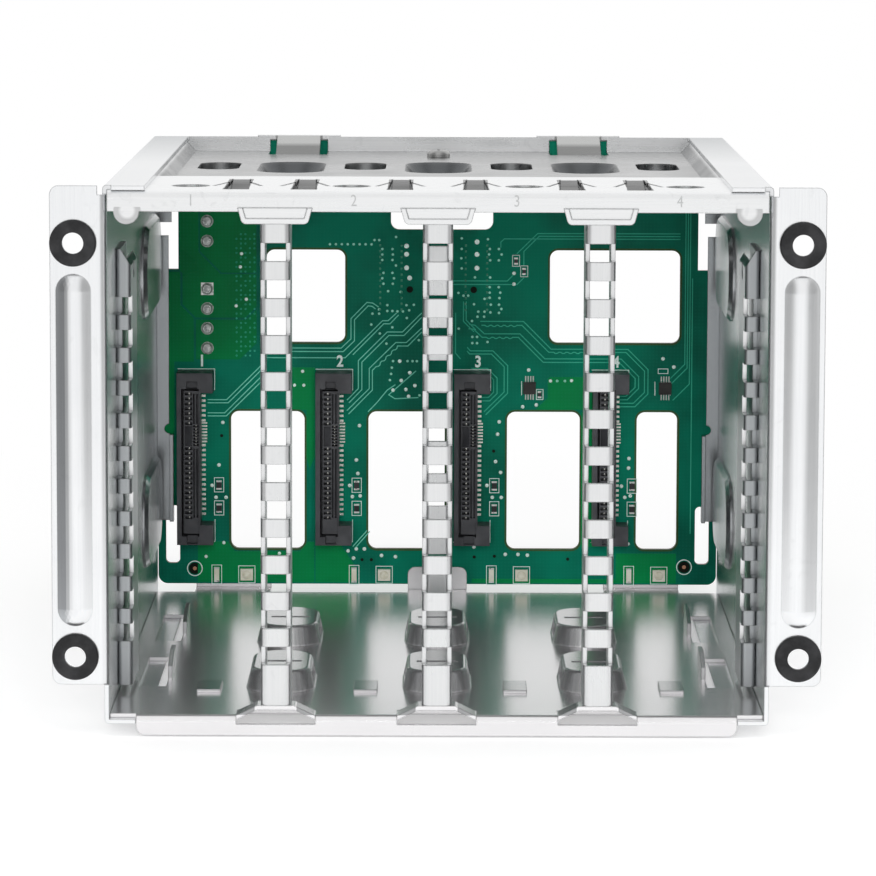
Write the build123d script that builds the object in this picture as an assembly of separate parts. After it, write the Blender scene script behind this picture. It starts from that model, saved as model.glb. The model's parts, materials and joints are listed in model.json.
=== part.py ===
from build123d import *
import math
import os

# Hot swap drive cage: a folded sheet steel box with four upright drive bays,
# three ladder dividers at the front and a connector board across the rear.
# All sizes are in millimetres. X runs to the right, Y into the cage from the
# front face of the flanges, Z up. The origin is the middle of the four flange
# holes, in the plane of the flanges' front faces.

# Sheet metal
sheet = 1.0
bend = 2.0
fit_gap = 0.1

# Cage body
cage_width = 146.0
cage_depth = 180.0
flange_hole_inset = 6.3
hole_spacing_z = 91.0
hole_radius = 2.35
floor_drop = 13.0
top_rise = 12.5
strip_width = 9.3
strip_fold = 0.9
bay_side_gap = 1.2

# Mounting flanges
flange_reach = 11.4
flange_lift = 6.75
flange_corner = 2.0
rib_width = 7.6
rib_ring_gap = 1.65
rib_height = 1.5

# Wall details
oval_length = 60.0
oval_width = 23.0
oval_depth = 1.5
oval_rear_gap = 3.0
oval_upper_z = 27.7
oval_lower_z = -33.7
rear_strip_width = 3.1
rear_strip_low = -40.7
rear_strip_high = 38.7
rear_notch_low = 32.7
rear_notch_high = 36.1
lip_top = -18.2
lip_inset = 4.3
lip_length = 4.0
relief_radius = 1.2

# Ladders: the three dividers and the rear post share one channel
channel_width = 6.55
channel_leg = 13.0
divider_foot_gap = 2.2
divider_top = 49.8
window_pitch = 8.08
window_height = 4.0
window_first = 43.6
window_count = 12
window_depth = 3.2
post_rear_gap = 42.0
post_tab_length = 13.0

# Guide ladders on the side walls
guide_depth = 29.0
guide_leg = 21.0
guide_width = 3.3
guide_low_gap = 1.5
guide_top = 41.8
guide_taper = 5.4
guide_pitch = 7.4
guide_first = 29.0
guide_count = 11
guide_window_height = 4.0
guide_window_depth = 6.0
pierce_radius = 2.0

# Floor pan
floor_lip_inset = 6.9
floor_lip_height = 4.5
lip_corner = 2.0
bridge_base = 17.4
bridge_top = 8.2
bridge_length = 6.0
boss_width = 15.5
boss_length = 31.0
boss_height = 5.0
boss_front_y = 42.5
boss_rear_y = 105.0
boss_window_length = 16.0
boss_slot_length = 9.0
boss_slot_width = 2.0
finger_width = 6.2
finger_length = 39.0
finger_inset = 4.2
finger_front_y = 36.0
finger_rear_y = 98.0
finger_height = 5.5
finger_run = 16.0
nub_width = 5.3
nub_length = 12.0
nub_height = 0.8
nub_y = 34.0
nub_offset = 1.6
rear_recess = 6.0
rear_tab_lip = 3.6
rear_tab_span = (-10.3, 9.1)
upright_width = 15.2
upright_height = 5.8
upright_corner = 2.0

# Top plate
bar_depth = 46.0
pan_drop = 2.7
pan_side_gap = 2.0
front_lip_bottom = 52.4
tab_base = 16.2
tab_foot = 14.3
tab_overlap = 0.9
tab_lift = 0.9
tab_rim = 1.2
tab_side_rim = 0.8
half_round_radius = 2.8
half_round_inset = 4.2
cup_depth = 3.2
cup_lean = 2.2
cup_width = 16.0
cup_length = 40.0
cup_post_gap = 0.5
collar_width = 10.0
collar_length = 26.0
collar_height = 1.5
collar_y = 122.0
bar_hole_radius = 4.2
bar_hole_y = 15.0
bar_hole_shift = 1.3
tongue_root = 3.6
tongue_tip = 5.2
tongue_drop = 3.6
tongue_front_y = 14.0
tongue_rear_y = 37.0
tongue_gap = 0.3
tongue_centre_offset = 8.3
tongue_inner_offset = 6.1
tongue_outer_offset = 8.7
wing_slit = 0.8
wing_length = 13.0
wing_angle = 14.0
wing_y = 21.0
hook_shift = 0.1
hook_stem = 11.0
hook_run = 14.0
hook_slit = 1.8
hook_plate = 21.0
hook_lip_height = 4.8
hook_rise = 0.3
board_play = 0.2

# Screw that ties the top plate to the rear post
screw_radius = 1.5
screw_head_radius = 2.85
screw_head_height = 1.8
screw_length = 6.0

# Flange rings
ring_radius = 5.1
ring_thickness = 1.2

# Connector board
board_thickness = 1.6
board_side_gap = 0.15
board_floor_gap = 1.2
board_top_gap = 0.3
board_corner = 2.4
corner_notch_width = 5.4
corner_notch_low = 24.0
centre_notch_left = -12.1
centre_notch_right = 14.0
centre_notch_low = 34.3
cutout_corner = 2.1
upper_cutout_low = 5.3
upper_cutout_high = 29.1
upper_left_span = (-8.5, 11.6)
upper_right_span = (-6.8, 26.5)
lower_cutout_low = -48.1
lower_cutout_high = -12.5
lower_spans = ((0.0, 18.9), (-0.1, 19.5), (0.1, 18.8), (-2.0, 8.4))
side_slot_gap = 2.1
side_slot_width = 3.6
side_slot_low = -52.0
side_slot_high = -37.0
slot_corner = 1.2

# Drive connectors on the board's front face
connector_offset = -8.9
connector_low = -46.1
connector_high = -1.9
connector_height = 8.5
body_width = 6.0
ear_width = 9.2
ear_height = 5.1
slot_inset = 1.2
slot_wall = 0.3
slot_low_end = 2.2
slot_high_end = 4.0
socket_depth = 6.5
comb_gap = 0.6
comb_drop = 1.0
comb_window_width = 1.8
comb_window_depth = 4.0
comb_edge = 0.3
comb_slit = 0.7
fine_slit = 0.5
rail_groove = 0.4
key_notch = (2.7, 2.5, 1.9)
key_notch_gap = 0.9
ramp_drop = 1.6
contact_end = 5.4
contact_pitch = 1.27
fine_pitch = 0.8
signal_count = 7
fine_count = 7
power_count = 15
signal_gap = 0.68
power_gap = 0.95
contact_size = 0.6
fine_size = 0.4
contact_sheet = 0.25
contact_tip = 1.5
contact_tail = 1.0
fine_tail = 1.4

# Small parts on the board's front face
light_z = -54.9
square_light_shift = 4.0
square_light_size = (3.2, 0.9, 3.0)
tall_light_shift = -3.75
tall_light_size = (1.3, 0.9, 3.8)
chip_size = (3.2, 1.1, 3.1)
chip_z = -6.3
chip_shifts = (5.8, 5.2)
chip_leg_count = 4
chip_leg_pitch = 0.65
chip_leg_width = 0.32
chip_leg_reach = 1.5
chip_leg_sheet = 0.2
chip_leg_rise = 0.6
resistor_size = (1.3, 0.6, 2.3)
resistor_shift = -3.1
resistor_rows = (-31.65, -37.65)
small_resistor_size = (0.9, 0.5, 1.7)
small_resistor_places = ((19.9, 26.35), (22.0, 23.7), (26.1, -8.0))

# Headers on the board's rear face
header_shift = -6.0
header_width = 8.4
header_length = 23.0
header_height = 11.0
header_wall = 1.2
header_pin_pitch = 5.08
header_pin_radius = 1.0
header_pin_tail = 1.2
header_centres = (38.85, 11.35)
header_cavity = 8.0
data_centres = (-12.1, 9.8)
data_z = 22.0
data_width = 11.0
data_length = 22.0
data_height = 8.0
data_wall = 1.2
data_cavity = 6.0
data_pin_count = 12
data_pin_pitch = 1.5
data_pin_size = 0.5
data_pin_tail = 0.6

# Places worked out from the sizes above
half_width = cage_width / 2
wall_inner = half_width - sheet
z_floor = -hole_spacing_z / 2 - floor_drop
z_top = hole_spacing_z / 2 + top_rise
z_floor_under = z_floor - sheet
z_base = z_floor_under - sheet
z_bar = z_top - sheet
z_pan = z_bar - pan_drop
z_pan_under = z_pan - sheet
flange_edge = half_width + flange_reach
hole_spacing_x = cage_width + 2 * flange_hole_inset
bay_pitch = (cage_width - 2 * (sheet + bay_side_gap)) / 4
rib_length = hole_spacing_z - 2 * (ring_radius + rib_ring_gap)
rib_radius = (rib_width ** 2 / 4 + rib_height ** 2) / (2 * rib_height)
post_depth = cage_depth - post_rear_gap
cup_y = post_depth - cup_post_gap - cup_length / 2
screw_y = post_depth + channel_leg + post_tab_length / 2
z_flange = z_floor + flange_lift
board_front = cage_depth
board_back = cage_depth + board_thickness
z_hook = z_top + hook_rise
board_top = z_hook - sheet - board_top_gap
z_bridge = z_floor + divider_foot_gap
divider_xs = (-bay_pitch, 0.0, bay_pitch)
bay_xs = tuple(bay_pitch * k for k in (-1.5, -0.5, 0.5, 1.5))
tongue_xs = (tongue_centre_offset, bay_pitch - tongue_inner_offset, bay_pitch + tongue_outer_offset)
hook_x = bay_pitch + hook_shift
header_x = bay_xs[0] + header_shift
side_slot_outer = wall_inner - side_slot_gap
side_slot_inner = side_slot_outer - side_slot_width
contact_first = connector_high - contact_end
fine_first = contact_first - contact_pitch * (signal_count - 1) - signal_gap
power_first = fine_first - fine_pitch * (fine_count - 1) - power_gap


def block(x, y, z):
    """Box between the given limits on each axis."""
    size = (x[1] - x[0], y[1] - y[0], z[1] - z[0])
    middle = ((x[0] + x[1]) / 2, (y[0] + y[1]) / 2, (z[0] + z[1]) / 2)
    return Pos(*middle) * Box(*size)


def along_x(sketch, x0, x1):
    """Extrude a sketch drawn in (Y, Z) from x0 to x1."""
    return extrude(Plane((x0, 0, 0), x_dir=(0, 1, 0), z_dir=(1, 0, 0)) * sketch, x1 - x0)


def along_y(sketch, y0, y1):
    """Extrude a sketch drawn in (X, Z) from y0 to y1."""
    return extrude(Plane((0, y1, 0), x_dir=(1, 0, 0), z_dir=(0, -1, 0)) * sketch, y1 - y0)


def along_z(sketch, z0, z1):
    """Extrude a sketch drawn in (X, Y) from z0 to z1."""
    return extrude(Pos(0, 0, z0) * sketch, z1 - z0)


def outline(*points):
    """Closed straight-sided face."""
    return make_face(Polyline(*points, close=True))


def rectangle(u, v):
    """Rectangle between two limits on each sketch axis."""
    return Pos((u[0] + u[1]) / 2, (v[0] + v[1]) / 2) * Rectangle(u[1] - u[0], v[1] - v[0])


def round_corners(sketch, radius, keep):
    """Round the sketch corners that keep(vertex) picks."""
    return fillet([v for v in sketch.vertices() if keep(v)], radius)


def cylinder_y(x, z, radius, y0, y1):
    """Round bar along Y."""
    return along_y(Pos(x, z) * Circle(radius), y0, y1)


def wall_section():
    """C section of a side wall in (X, Z): the strips fold in over the top and under the floor."""
    outer = rectangle((half_width - strip_width, half_width), (z_base, z_top))
    outer = round_corners(outer, strip_fold, lambda v: v.X > half_width - strip_fold)
    return outer - rectangle((half_width - 2 * strip_width, wall_inner), (z_floor_under, z_bar))


def ridge(radius, y_low, y_high):
    """Rounded ridge along the flange: a round bar with ball ends, kept between two depths."""
    x = hole_spacing_x / 2
    y = rib_radius - rib_height
    reach = (rib_length - rib_width) / 2
    bar = along_z(Pos(x, y) * Circle(radius), -reach, reach)
    for z in (-reach, reach):
        bar += Pos(x, y, z) * Sphere(radius)
    return bar & block((x - rib_width, x + rib_width), (y_low, y_high), (-rib_length, rib_length))


def flange():
    """Front edge of the wall folded outwards, with two bolt holes and a long stiffening rib."""
    corner = rectangle((wall_inner, half_width + bend), (0, 2 * bend))
    corner = round_corners(corner, bend, lambda v: v.X < half_width and v.Y < bend)
    hollow = rectangle((half_width, half_width + 2 * bend), (sheet, 3 * bend))
    hollow = round_corners(hollow, bend - sheet, lambda v: v.X < half_width + sheet and v.Y < bend)
    fold = along_z(corner - hollow, z_flange, z_top - bend)
    plate = rectangle((half_width + bend - sheet, flange_edge), (z_flange, z_top))
    plate = round_corners(plate, flange_corner, lambda v: v.X > flange_edge - sheet)
    part = fold + along_y(plate, 0, sheet)
    centre = hole_spacing_x / 2
    part = part + ridge(rib_radius, -2 * rib_height, sheet / 2) - ridge(rib_radius - sheet, -2 * rib_height, 2 * sheet)
    for z in (-hole_spacing_z / 2, hole_spacing_z / 2):
        part -= cylinder_y(centre, z, hole_radius, -sheet, 2 * sheet)
    return part


def wall_oval(z):
    """Raised oval on the inside of the wall and the hollow it leaves outside."""
    y = cage_depth - oval_rear_gap - oval_length / 2
    pad = along_x(Pos(y, z) * SlotOverall(oval_length, oval_width), wall_inner - oval_depth, wall_inner)
    pad = chamfer(pad.faces().sort_by(Axis.X)[0].edges(), oval_depth - sheet / 2)
    hollow_shape = Pos(y, z) * SlotOverall(oval_length - 2 * sheet, oval_width - 2 * sheet)
    return pad, along_x(hollow_shape, half_width - oval_depth, half_width + sheet)


def rear_strip():
    """Rear edge of the wall folded in behind the bay: the board lies on it, and a lip stiffens it."""
    inner = wall_inner - rear_strip_width
    lip_edge = wall_inner - lip_inset
    y = (cage_depth - sheet, cage_depth)
    strip = block((inner, wall_inner), y, (rear_strip_low, rear_strip_high))
    strip += block((lip_edge, inner), y, (rear_strip_low, lip_top))
    strip += block((inner - 0.8, inner), y, (rear_notch_high, rear_strip_high))
    strip -= block((inner - sheet, wall_inner - sheet), (y[0] - 1, y[1] + 1), (rear_notch_low, rear_notch_high))
    strip -= cylinder_y(inner, lip_top + relief_radius, relief_radius, y[0] - 1, y[1] + 1)
    lip = block((lip_edge, lip_edge + sheet), (cage_depth - lip_length, cage_depth), (rear_strip_low, lip_top))
    return strip + lip


def side_wall():
    """Right side wall with its flange; the left one is its mirror image."""
    wall = along_y(wall_section(), 0, cage_depth)
    wall -= block((wall_inner - sheet, half_width + sheet), (-sheet, bend), (z_flange, z_top + sheet))
    wall += flange()
    relief_edge = half_width - floor_lip_inset + fit_gap
    wall -= block((half_width - strip_width - 1, relief_edge), (-sheet, sheet + fit_gap),
                  (z_base - sheet, z_floor_under + sheet))
    for z in (oval_upper_z, oval_lower_z):
        pad, hollow = wall_oval(z)
        wall = wall + pad - hollow
    return wall + rear_strip()


def channel(width, leg, z_low, z_high, corner):
    """U channel open to the rear, its web at y = 0 and centred on x = 0."""
    plan = rectangle((-width / 2, width / 2), (0, leg))
    plan = round_corners(plan, corner, lambda v: v.Y < leg / 2)
    hollow = rectangle((-width / 2 + sheet, width / 2 - sheet), (sheet, leg + sheet))
    return along_z(plan - hollow, z_low, z_high)


def ladder_windows(width, depth, first, pitch, count, height):
    """Row of openings cut through the web and the fronts of both legs, top one first."""
    cuts = []
    for k in range(count):
        z = first - pitch * k
        cuts.append(block((-width, width), (-sheet, depth), (z - height / 2, z + height / 2)))
    return cuts


def divider(z_low, z_high):
    """Ladder divider, open between its rungs."""
    part = channel(channel_width, channel_leg, z_low, z_high, bend * 0.75)
    for cut in ladder_windows(channel_width, window_depth, window_first, window_pitch, window_count, window_height):
        part -= cut
    return part


def rear_post():
    """Ladder post between the floor and the top plate, with a drilled tab for the screw."""
    part = Pos(0, post_depth, 0) * divider(z_floor, z_pan_under)
    half = channel_width / 2
    tab_end = post_depth + channel_leg + post_tab_length
    part += block((-half, half), (post_depth + bend, tab_end), (z_pan_under - sheet, z_pan_under))
    foot_end = post_depth + channel_leg + post_tab_length / 2
    part += block((-half, half), (post_depth + bend, foot_end), (z_floor, z_floor + sheet))
    hole = Pos(0, screw_y, z_pan_under) * Cylinder(screw_radius + fit_gap, 4 * sheet)
    return part - hole


def guide_ladder():
    """Narrow ladder on the right wall's inside: it guides the edge of the outer carrier."""
    z_low = z_floor + guide_low_gap
    part = channel(guide_width, guide_leg, z_low, guide_top, sheet)
    for cut in ladder_windows(guide_width, guide_window_depth, guide_first, guide_pitch, guide_count,
                              guide_window_height):
        part -= cut
    half = guide_width / 2
    wedge = outline((-half - 1, guide_top - guide_taper), (half - sheet, guide_top), (half - sheet, guide_top + 1),
                    (-half - 1, guide_top + 1))
    part -= along_y(wedge, -1, guide_leg + 1)
    pierce_z = guide_first + guide_pitch
    part -= along_x(Pos(guide_leg / 2, pierce_z) * Circle(pierce_radius), -half - 1, 0)
    return Pos(wall_inner - half, guide_depth, 0) * part


def bridge(x):
    """Raised bridge at the floor's front edge that carries a divider, and the opening under it."""
    base = bridge_base / 2
    crown = bridge_top / 2
    rise = z_bridge
    strap = outline((x - base, z_floor_under), (x - base, z_floor), (x - crown, rise), (x + crown, rise),
                    (x + base, z_floor), (x + base, z_floor_under), (x + crown, rise - sheet),
                    (x - crown, rise - sheet))
    opening = outline((x - base, z_floor_under - sheet), (x - base, z_floor + sheet), (x + base, z_floor + sheet),
                      (x + base, z_floor_under - sheet))
    return along_y(strap, 0, bridge_length), along_y(opening, -sheet, bridge_length + sheet)


def floor_boss(x, y):
    """Drawn boss between two bays, cut open at both sides, with a slot in its crown."""
    taper = 12
    shell = extrude(Pos(x, y, z_floor) * SlotOverall(boss_length, boss_width, rotation=90), boss_height, taper=taper)
    shell = fillet(shell.faces().sort_by(Axis.Z)[-1].edges(), sheet)
    core_shape = SlotOverall(boss_length - 2 * sheet, boss_width - 2 * sheet, rotation=90)
    core = extrude(Pos(x, y, z_floor_under) * core_shape, boss_height, taper=taper)
    half = boss_window_length / 2
    window = block((x - boss_width, x + boss_width), (y - half, y + half),
                   (z_floor + 0.8, z_floor + boss_height - 1.5))
    slot_half = boss_slot_length / 2
    crown_slot = block((x - slot_half, x + slot_half), (y - boss_slot_width, y),
                       (z_floor, z_floor + 2 * boss_height))
    return shell, core + window + crown_slot


def floor_fingers():
    """Upright guide fingers lanced out of the floor beside each wall, with their openings."""
    fingers = []
    openings = []
    for side in (-1, 1):
        outer = side * (wall_inner - finger_inset)
        inner = outer - side * finger_width
        xs = sorted((outer, inner))
        blade = sorted((inner, inner - side * sheet))
        for start in (finger_front_y, finger_rear_y):
            end = start + finger_length
            openings.append(block(xs, (start, end), (z_floor_under - 1, z_floor + 1)))
            y0 = start + finger_run / 2
            shape = outline((y0, z_floor_under), (y0, z_floor + finger_height * 0.6),
                            (y0 + finger_run * 0.6, z_floor + finger_height),
                            (y0 + finger_run, z_floor + finger_height), (y0 + finger_run, z_floor_under))
            fingers.append(along_x(shape, blade[0], blade[1]))
    return fingers, openings


def floor_pan():
    """Flat floor with a front lip, bridges, bosses, guide fingers and a notched rear edge."""
    edge = wall_inner - fit_gap
    part = block((-edge, edge), (bend, cage_depth - rear_recess), (z_floor_under, z_floor))
    lip_edge = half_width - floor_lip_inset
    part += block((-lip_edge, lip_edge), (0, 2 * bend), (z_floor_under, z_floor))
    z_lip = z_floor - floor_lip_height
    lip = rectangle((-lip_edge, lip_edge), (z_lip, z_floor))
    lip = round_corners(lip, lip_corner, lambda v: v.Y < z_floor - sheet)
    part += along_y(lip, 0, sheet)
    nose = [e for e in part.edges().filter_by(Axis.X) if abs(e.center().Y) < 0.01 and e.center().Z > z_floor - 0.01]
    part = fillet(nose, bend * 0.75)
    for side in (-1, 1):
        xs = sorted(side * (bay_xs[3] + end) for end in rear_tab_span)
        back = board_back + board_play
        part += block(xs, (cage_depth - 2 * rear_recess, back + sheet), (z_floor_under, z_floor))
        part += block(xs, (back, back + sheet), (z_floor_under, z_floor + rear_tab_lip))
    half = upright_width / 2
    part += block((-half, half), (cage_depth - 2 * rear_recess, cage_depth), (z_floor_under, z_floor))
    upright = rectangle((-half, half), (z_floor_under, z_floor + upright_height))
    upright = round_corners(upright, upright_corner, lambda v: v.Y > z_floor)
    part += along_y(upright, cage_depth - sheet, cage_depth)
    for x in divider_xs:
        strap, opening = bridge(x)
        part = part - opening + strap
        for y in (boss_front_y, boss_rear_y):
            shell, hollow = floor_boss(x, y)
            part = part + shell - hollow
    fingers, openings = floor_fingers()
    for cut in openings:
        part -= cut
    for finger in fingers:
        part += finger
    for x in bay_xs:
        nub_x = x + nub_offset if x < 0 else x
        half = nub_width / 2
        part += block((nub_x - half, nub_x + half), (nub_y - nub_length / 2, nub_y + nub_length / 2),
                      (z_floor, z_floor + nub_height))
        part -= block((nub_x - half + sheet, nub_x + half - sheet), (nub_y - nub_length, nub_y + nub_length / 2 - sheet),
                      (z_floor_under - 1, z_floor - sheet / 2))
    return part


def top_lip():
    """Front lip of the top plate, with a shaped tab and shelf for each divider."""
    edge = wall_inner - fit_gap
    lip = rectangle((-edge, edge), (front_lip_bottom, z_bar))
    part = along_y(lip, 0, sheet)
    for x in (-edge + half_round_inset, edge - half_round_inset):
        part += cylinder_y(x, front_lip_bottom, half_round_radius, 0, sheet)
    tab_top = front_lip_bottom + tab_overlap
    for x in divider_xs:
        base = tab_base / 2
        foot = tab_foot / 2
        tab = outline((x - base, tab_top), (x - foot, divider_top), (x + foot, divider_top), (x + base, tab_top))
        tab = round_corners(tab, tab_rim, lambda v: v.Y < tab_top - tab_rim)
        panel_top = tab_top + sheet
        panel_foot = divider_top + tab_rim
        panel = outline((x - base + tab_side_rim, panel_top), (x - foot + tab_side_rim, panel_foot),
                        (x + foot - tab_side_rim, panel_foot), (x + base - tab_side_rim, panel_top))
        part += along_y(tab, -tab_lift, sheet)
        part -= along_y(panel, -2 * tab_lift, -tab_lift / 2)
        part += block((x - foot + tab_rim, x + foot - tab_rim), (0, bridge_length), (divider_top, divider_top + sheet))
    return part


def top_pan():
    """Sunk middle of the top plate and the hollow above it."""
    edge = half_width - strip_width - pan_side_gap
    rim = edge + pan_drop
    y = (bar_depth, cage_depth)
    floor_shape = ((-rim, z_bar), (-edge, z_pan), (edge, z_pan), (rim, z_bar))
    hollow = along_y(outline(*floor_shape, (rim, z_top), (-rim, z_top)), y[0], y[1] - sheet)
    under = ((-rim, z_bar - sheet), (-edge, z_pan_under), (edge, z_pan_under), (rim, z_bar - sheet))
    solid = along_y(outline(*under, (rim, z_bar), (-rim, z_bar)), y[0] - sheet, y[1])
    return solid, hollow


def cup(x, y):
    """Long drawn cup that points down with leaning sides, and the hollow inside it."""
    mouth = SlotOverall(cup_length, cup_width, rotation=90)
    form = Rot(180, 0, 0) * extrude(mouth, cup_depth, taper=math.degrees(math.atan(cup_lean / cup_depth)))
    clear = along_z(Pos(x, y) * mouth, z_pan, z_top)
    return Pos(x, y, z_pan_under) * form, Pos(x, y, z_pan) * form + clear


def collar(x, y):
    """Drawn collar under a long hole in the sunk middle."""
    wall = sheet * 0.6
    ring = SlotOverall(collar_length + 2 * wall, collar_width + 2 * wall, rotation=90)
    shell = along_z(Pos(x, y) * ring, z_pan_under - collar_height, z_pan_under)
    hole = SlotOverall(collar_length, collar_width, rotation=90)
    return shell, along_z(Pos(x, y) * hole, z_pan_under - 2 * collar_height, z_top)


def tongue(x):
    """Tapered tongue lanced out of the front bar that slopes down towards the front, and its openings."""
    root = tongue_root / 2
    tip = tongue_tip / 2
    run = (tongue_front_y, tongue_rear_y)
    plan = outline((x - tip, run[0]), (x + tip, run[0]), (x + root, run[1] + sheet), (x - root, run[1] + sheet))
    slope = outline((run[1] + sheet, z_bar), (run[1], z_bar), (run[0], z_bar - tongue_drop),
                    (run[0], z_bar - tongue_drop - sheet), (run[1] + sheet, z_bar - sheet))
    blade = along_z(plan, z_bar - 2 * tongue_drop, z_bar) & along_x(slope, x - tip, x + tip)
    tip += tongue_gap
    root += tongue_gap
    mouth = outline((x - tip, 2 * bend), (x + tip, 2 * bend), (x + root, run[1]), (x - root, run[1]))
    cuts = [along_z(mouth, z_bar - 2 * sheet, z_top)]
    for side in (-1, 1):
        slit = Rot(0, 0, side * wing_angle) * Rectangle(wing_slit, wing_length)
        wing_x = x + side * (tip + wing_length / 2 * math.sin(math.radians(wing_angle)) - wing_slit)
        cuts.append(along_z(Pos(wing_x, wing_y) * slit, z_bar - 2 * sheet, z_top))
    return blade, cuts


def rear_hook(x):
    """Ramp that rises out of the sunk middle to a hook over the board's top edge, and the opening round it."""
    half = hook_plate / 2
    back = board_back + board_play
    part = block((x - half, x + half), (cage_depth - sheet, back + sheet), (z_hook - sheet, z_hook))
    part += block((x - half, x + half), (back, back + sheet), (z_hook - hook_lip_height, z_hook))
    foot_y = cage_depth - hook_run
    ramp = outline((foot_y - sheet, z_pan_under), (foot_y - sheet, z_pan), (foot_y, z_pan), (cage_depth - sheet, z_hook),
                   (cage_depth, z_hook), (cage_depth, z_hook - sheet), (foot_y, z_pan_under))
    part += along_x(ramp, x - hook_stem / 2, x + hook_stem / 2)
    reach = hook_stem / 2 + hook_slit
    return part, block((x - reach, x + reach), (foot_y, cage_depth), (z_pan_under - 1, z_hook - sheet))


def top_plate():
    """Top plate with a flat front bar, a sunk middle, a rear lip and board hooks."""
    edge = wall_inner - fit_gap
    part = block((-edge, edge), (0, cage_depth), (z_bar - sheet, z_bar)) + top_lip()
    nose = [e for e in part.edges().filter_by(Axis.X) if abs(e.center().Y) < 0.01 and e.center().Z > z_bar - 0.01]
    part = fillet(nose, bend * 0.75)
    solid, hollow = top_pan()
    part = part + solid - hollow
    lip_edge = half_width - strip_width - fit_gap
    part += block((-lip_edge, lip_edge), (cage_depth - sheet, cage_depth), (z_bar - sheet, z_top))
    for x in divider_xs:
        shell, inside = cup(x, cup_y)
        part = part + shell - inside
    for x in sorted(side * offset for side in (-1, 1) for offset in tongue_xs):
        blade, cuts = tongue(x)
        for cut in cuts:
            part -= cut
        part += blade
    for x in bay_xs:
        shift = bar_hole_shift if x > 0 else -bar_hole_shift
        part -= Pos(x + shift, bar_hole_y, z_bar) * Cylinder(bar_hole_radius, 4 * sheet)
        shell, inside = collar(x, collar_y)
        part = part + shell - inside
    for x in (-hook_x, hook_x):
        hook, opening = rear_hook(x)
        part = part - opening + hook
    return part - Pos(0, screw_y, z_pan) * Cylinder(screw_radius + fit_gap, 6 * sheet)


def post_screw():
    """Pan head screw with a cross recess."""
    shank = Pos(0, screw_y, z_pan - screw_length / 2) * Cylinder(screw_radius, screw_length)
    head = Pos(0, screw_y, z_pan + screw_head_height / 2) * Cylinder(screw_head_radius, screw_head_height)
    head = fillet(head.edges().filter_by(GeomType.CIRCLE).sort_by(Axis.Z)[-1], screw_head_height * 0.6)
    z = (z_pan + screw_head_height * 0.4, z_pan + 2 * screw_head_height)
    arm = screw_head_radius * 0.6
    slot = sheet * 0.3
    cross = block((-arm, arm), (screw_y - slot, screw_y + slot), z)
    cross += block((-slot, slot), (screw_y - arm, screw_y + arm), z)
    return shank + head - cross


def flange_ring(x, z):
    """Flat ring round one flange hole."""
    ring = cylinder_y(x, z, ring_radius, -ring_thickness, 0)
    ring = chamfer(ring.edges().filter_by(GeomType.CIRCLE).sort_by(Axis.Y)[0], ring_thickness * 0.3)
    return ring - cylinder_y(x, z, hole_radius, -2 * ring_thickness, ring_thickness)


def window(u, v, corner):
    """Round-cornered opening in (X, Z)."""
    middle = Pos((u[0] + u[1]) / 2, (v[0] + v[1]) / 2)
    return middle * RectangleRounded(u[1] - u[0], v[1] - v[0], corner)


def board():
    """Glass fibre board with notches, air windows, hook slots and two tooling holes."""
    edge = wall_inner - board_side_gap
    low = z_floor + board_floor_gap
    face = rectangle((-edge, edge), (low, board_top))
    face = round_corners(face, board_corner, lambda v: v.Y < 0)
    for side in (-1, 1):
        xs = sorted((side * (edge - corner_notch_width), side * (edge + 1)))
        face -= rectangle(xs, (corner_notch_low, board_top + 1))
        slot = sorted((side * side_slot_inner, side * side_slot_outer))
        face -= window(slot, (side_slot_low, side_slot_high), slot_corner)
    centre = (centre_notch_left, centre_notch_right)
    face -= window(centre, (centre_notch_low, board_top + 2 * cutout_corner), cutout_corner)
    for middle, span in ((-bay_pitch, upper_left_span), (bay_pitch, upper_right_span)):
        xs = (middle + span[0], middle + span[1])
        face -= window(xs, (upper_cutout_low, upper_cutout_high), cutout_corner)
    for middle, span in zip(bay_xs, lower_spans):
        xs = (middle + span[0], middle + span[1])
        face -= window(xs, (lower_cutout_low, lower_cutout_high), cutout_corner)
    return along_y(face, board_front, board_back)


def contact_rows():
    """Height, width and kind of every contact in one receptacle, top one first."""
    rows = [(contact_first - contact_pitch * k, contact_size, False) for k in range(signal_count)]
    rows += [(fine_first - fine_pitch * k, fine_size, True) for k in range(fine_count)]
    rows += [(power_first - contact_pitch * k, contact_size, False) for k in range(power_count)]
    return rows


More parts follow.
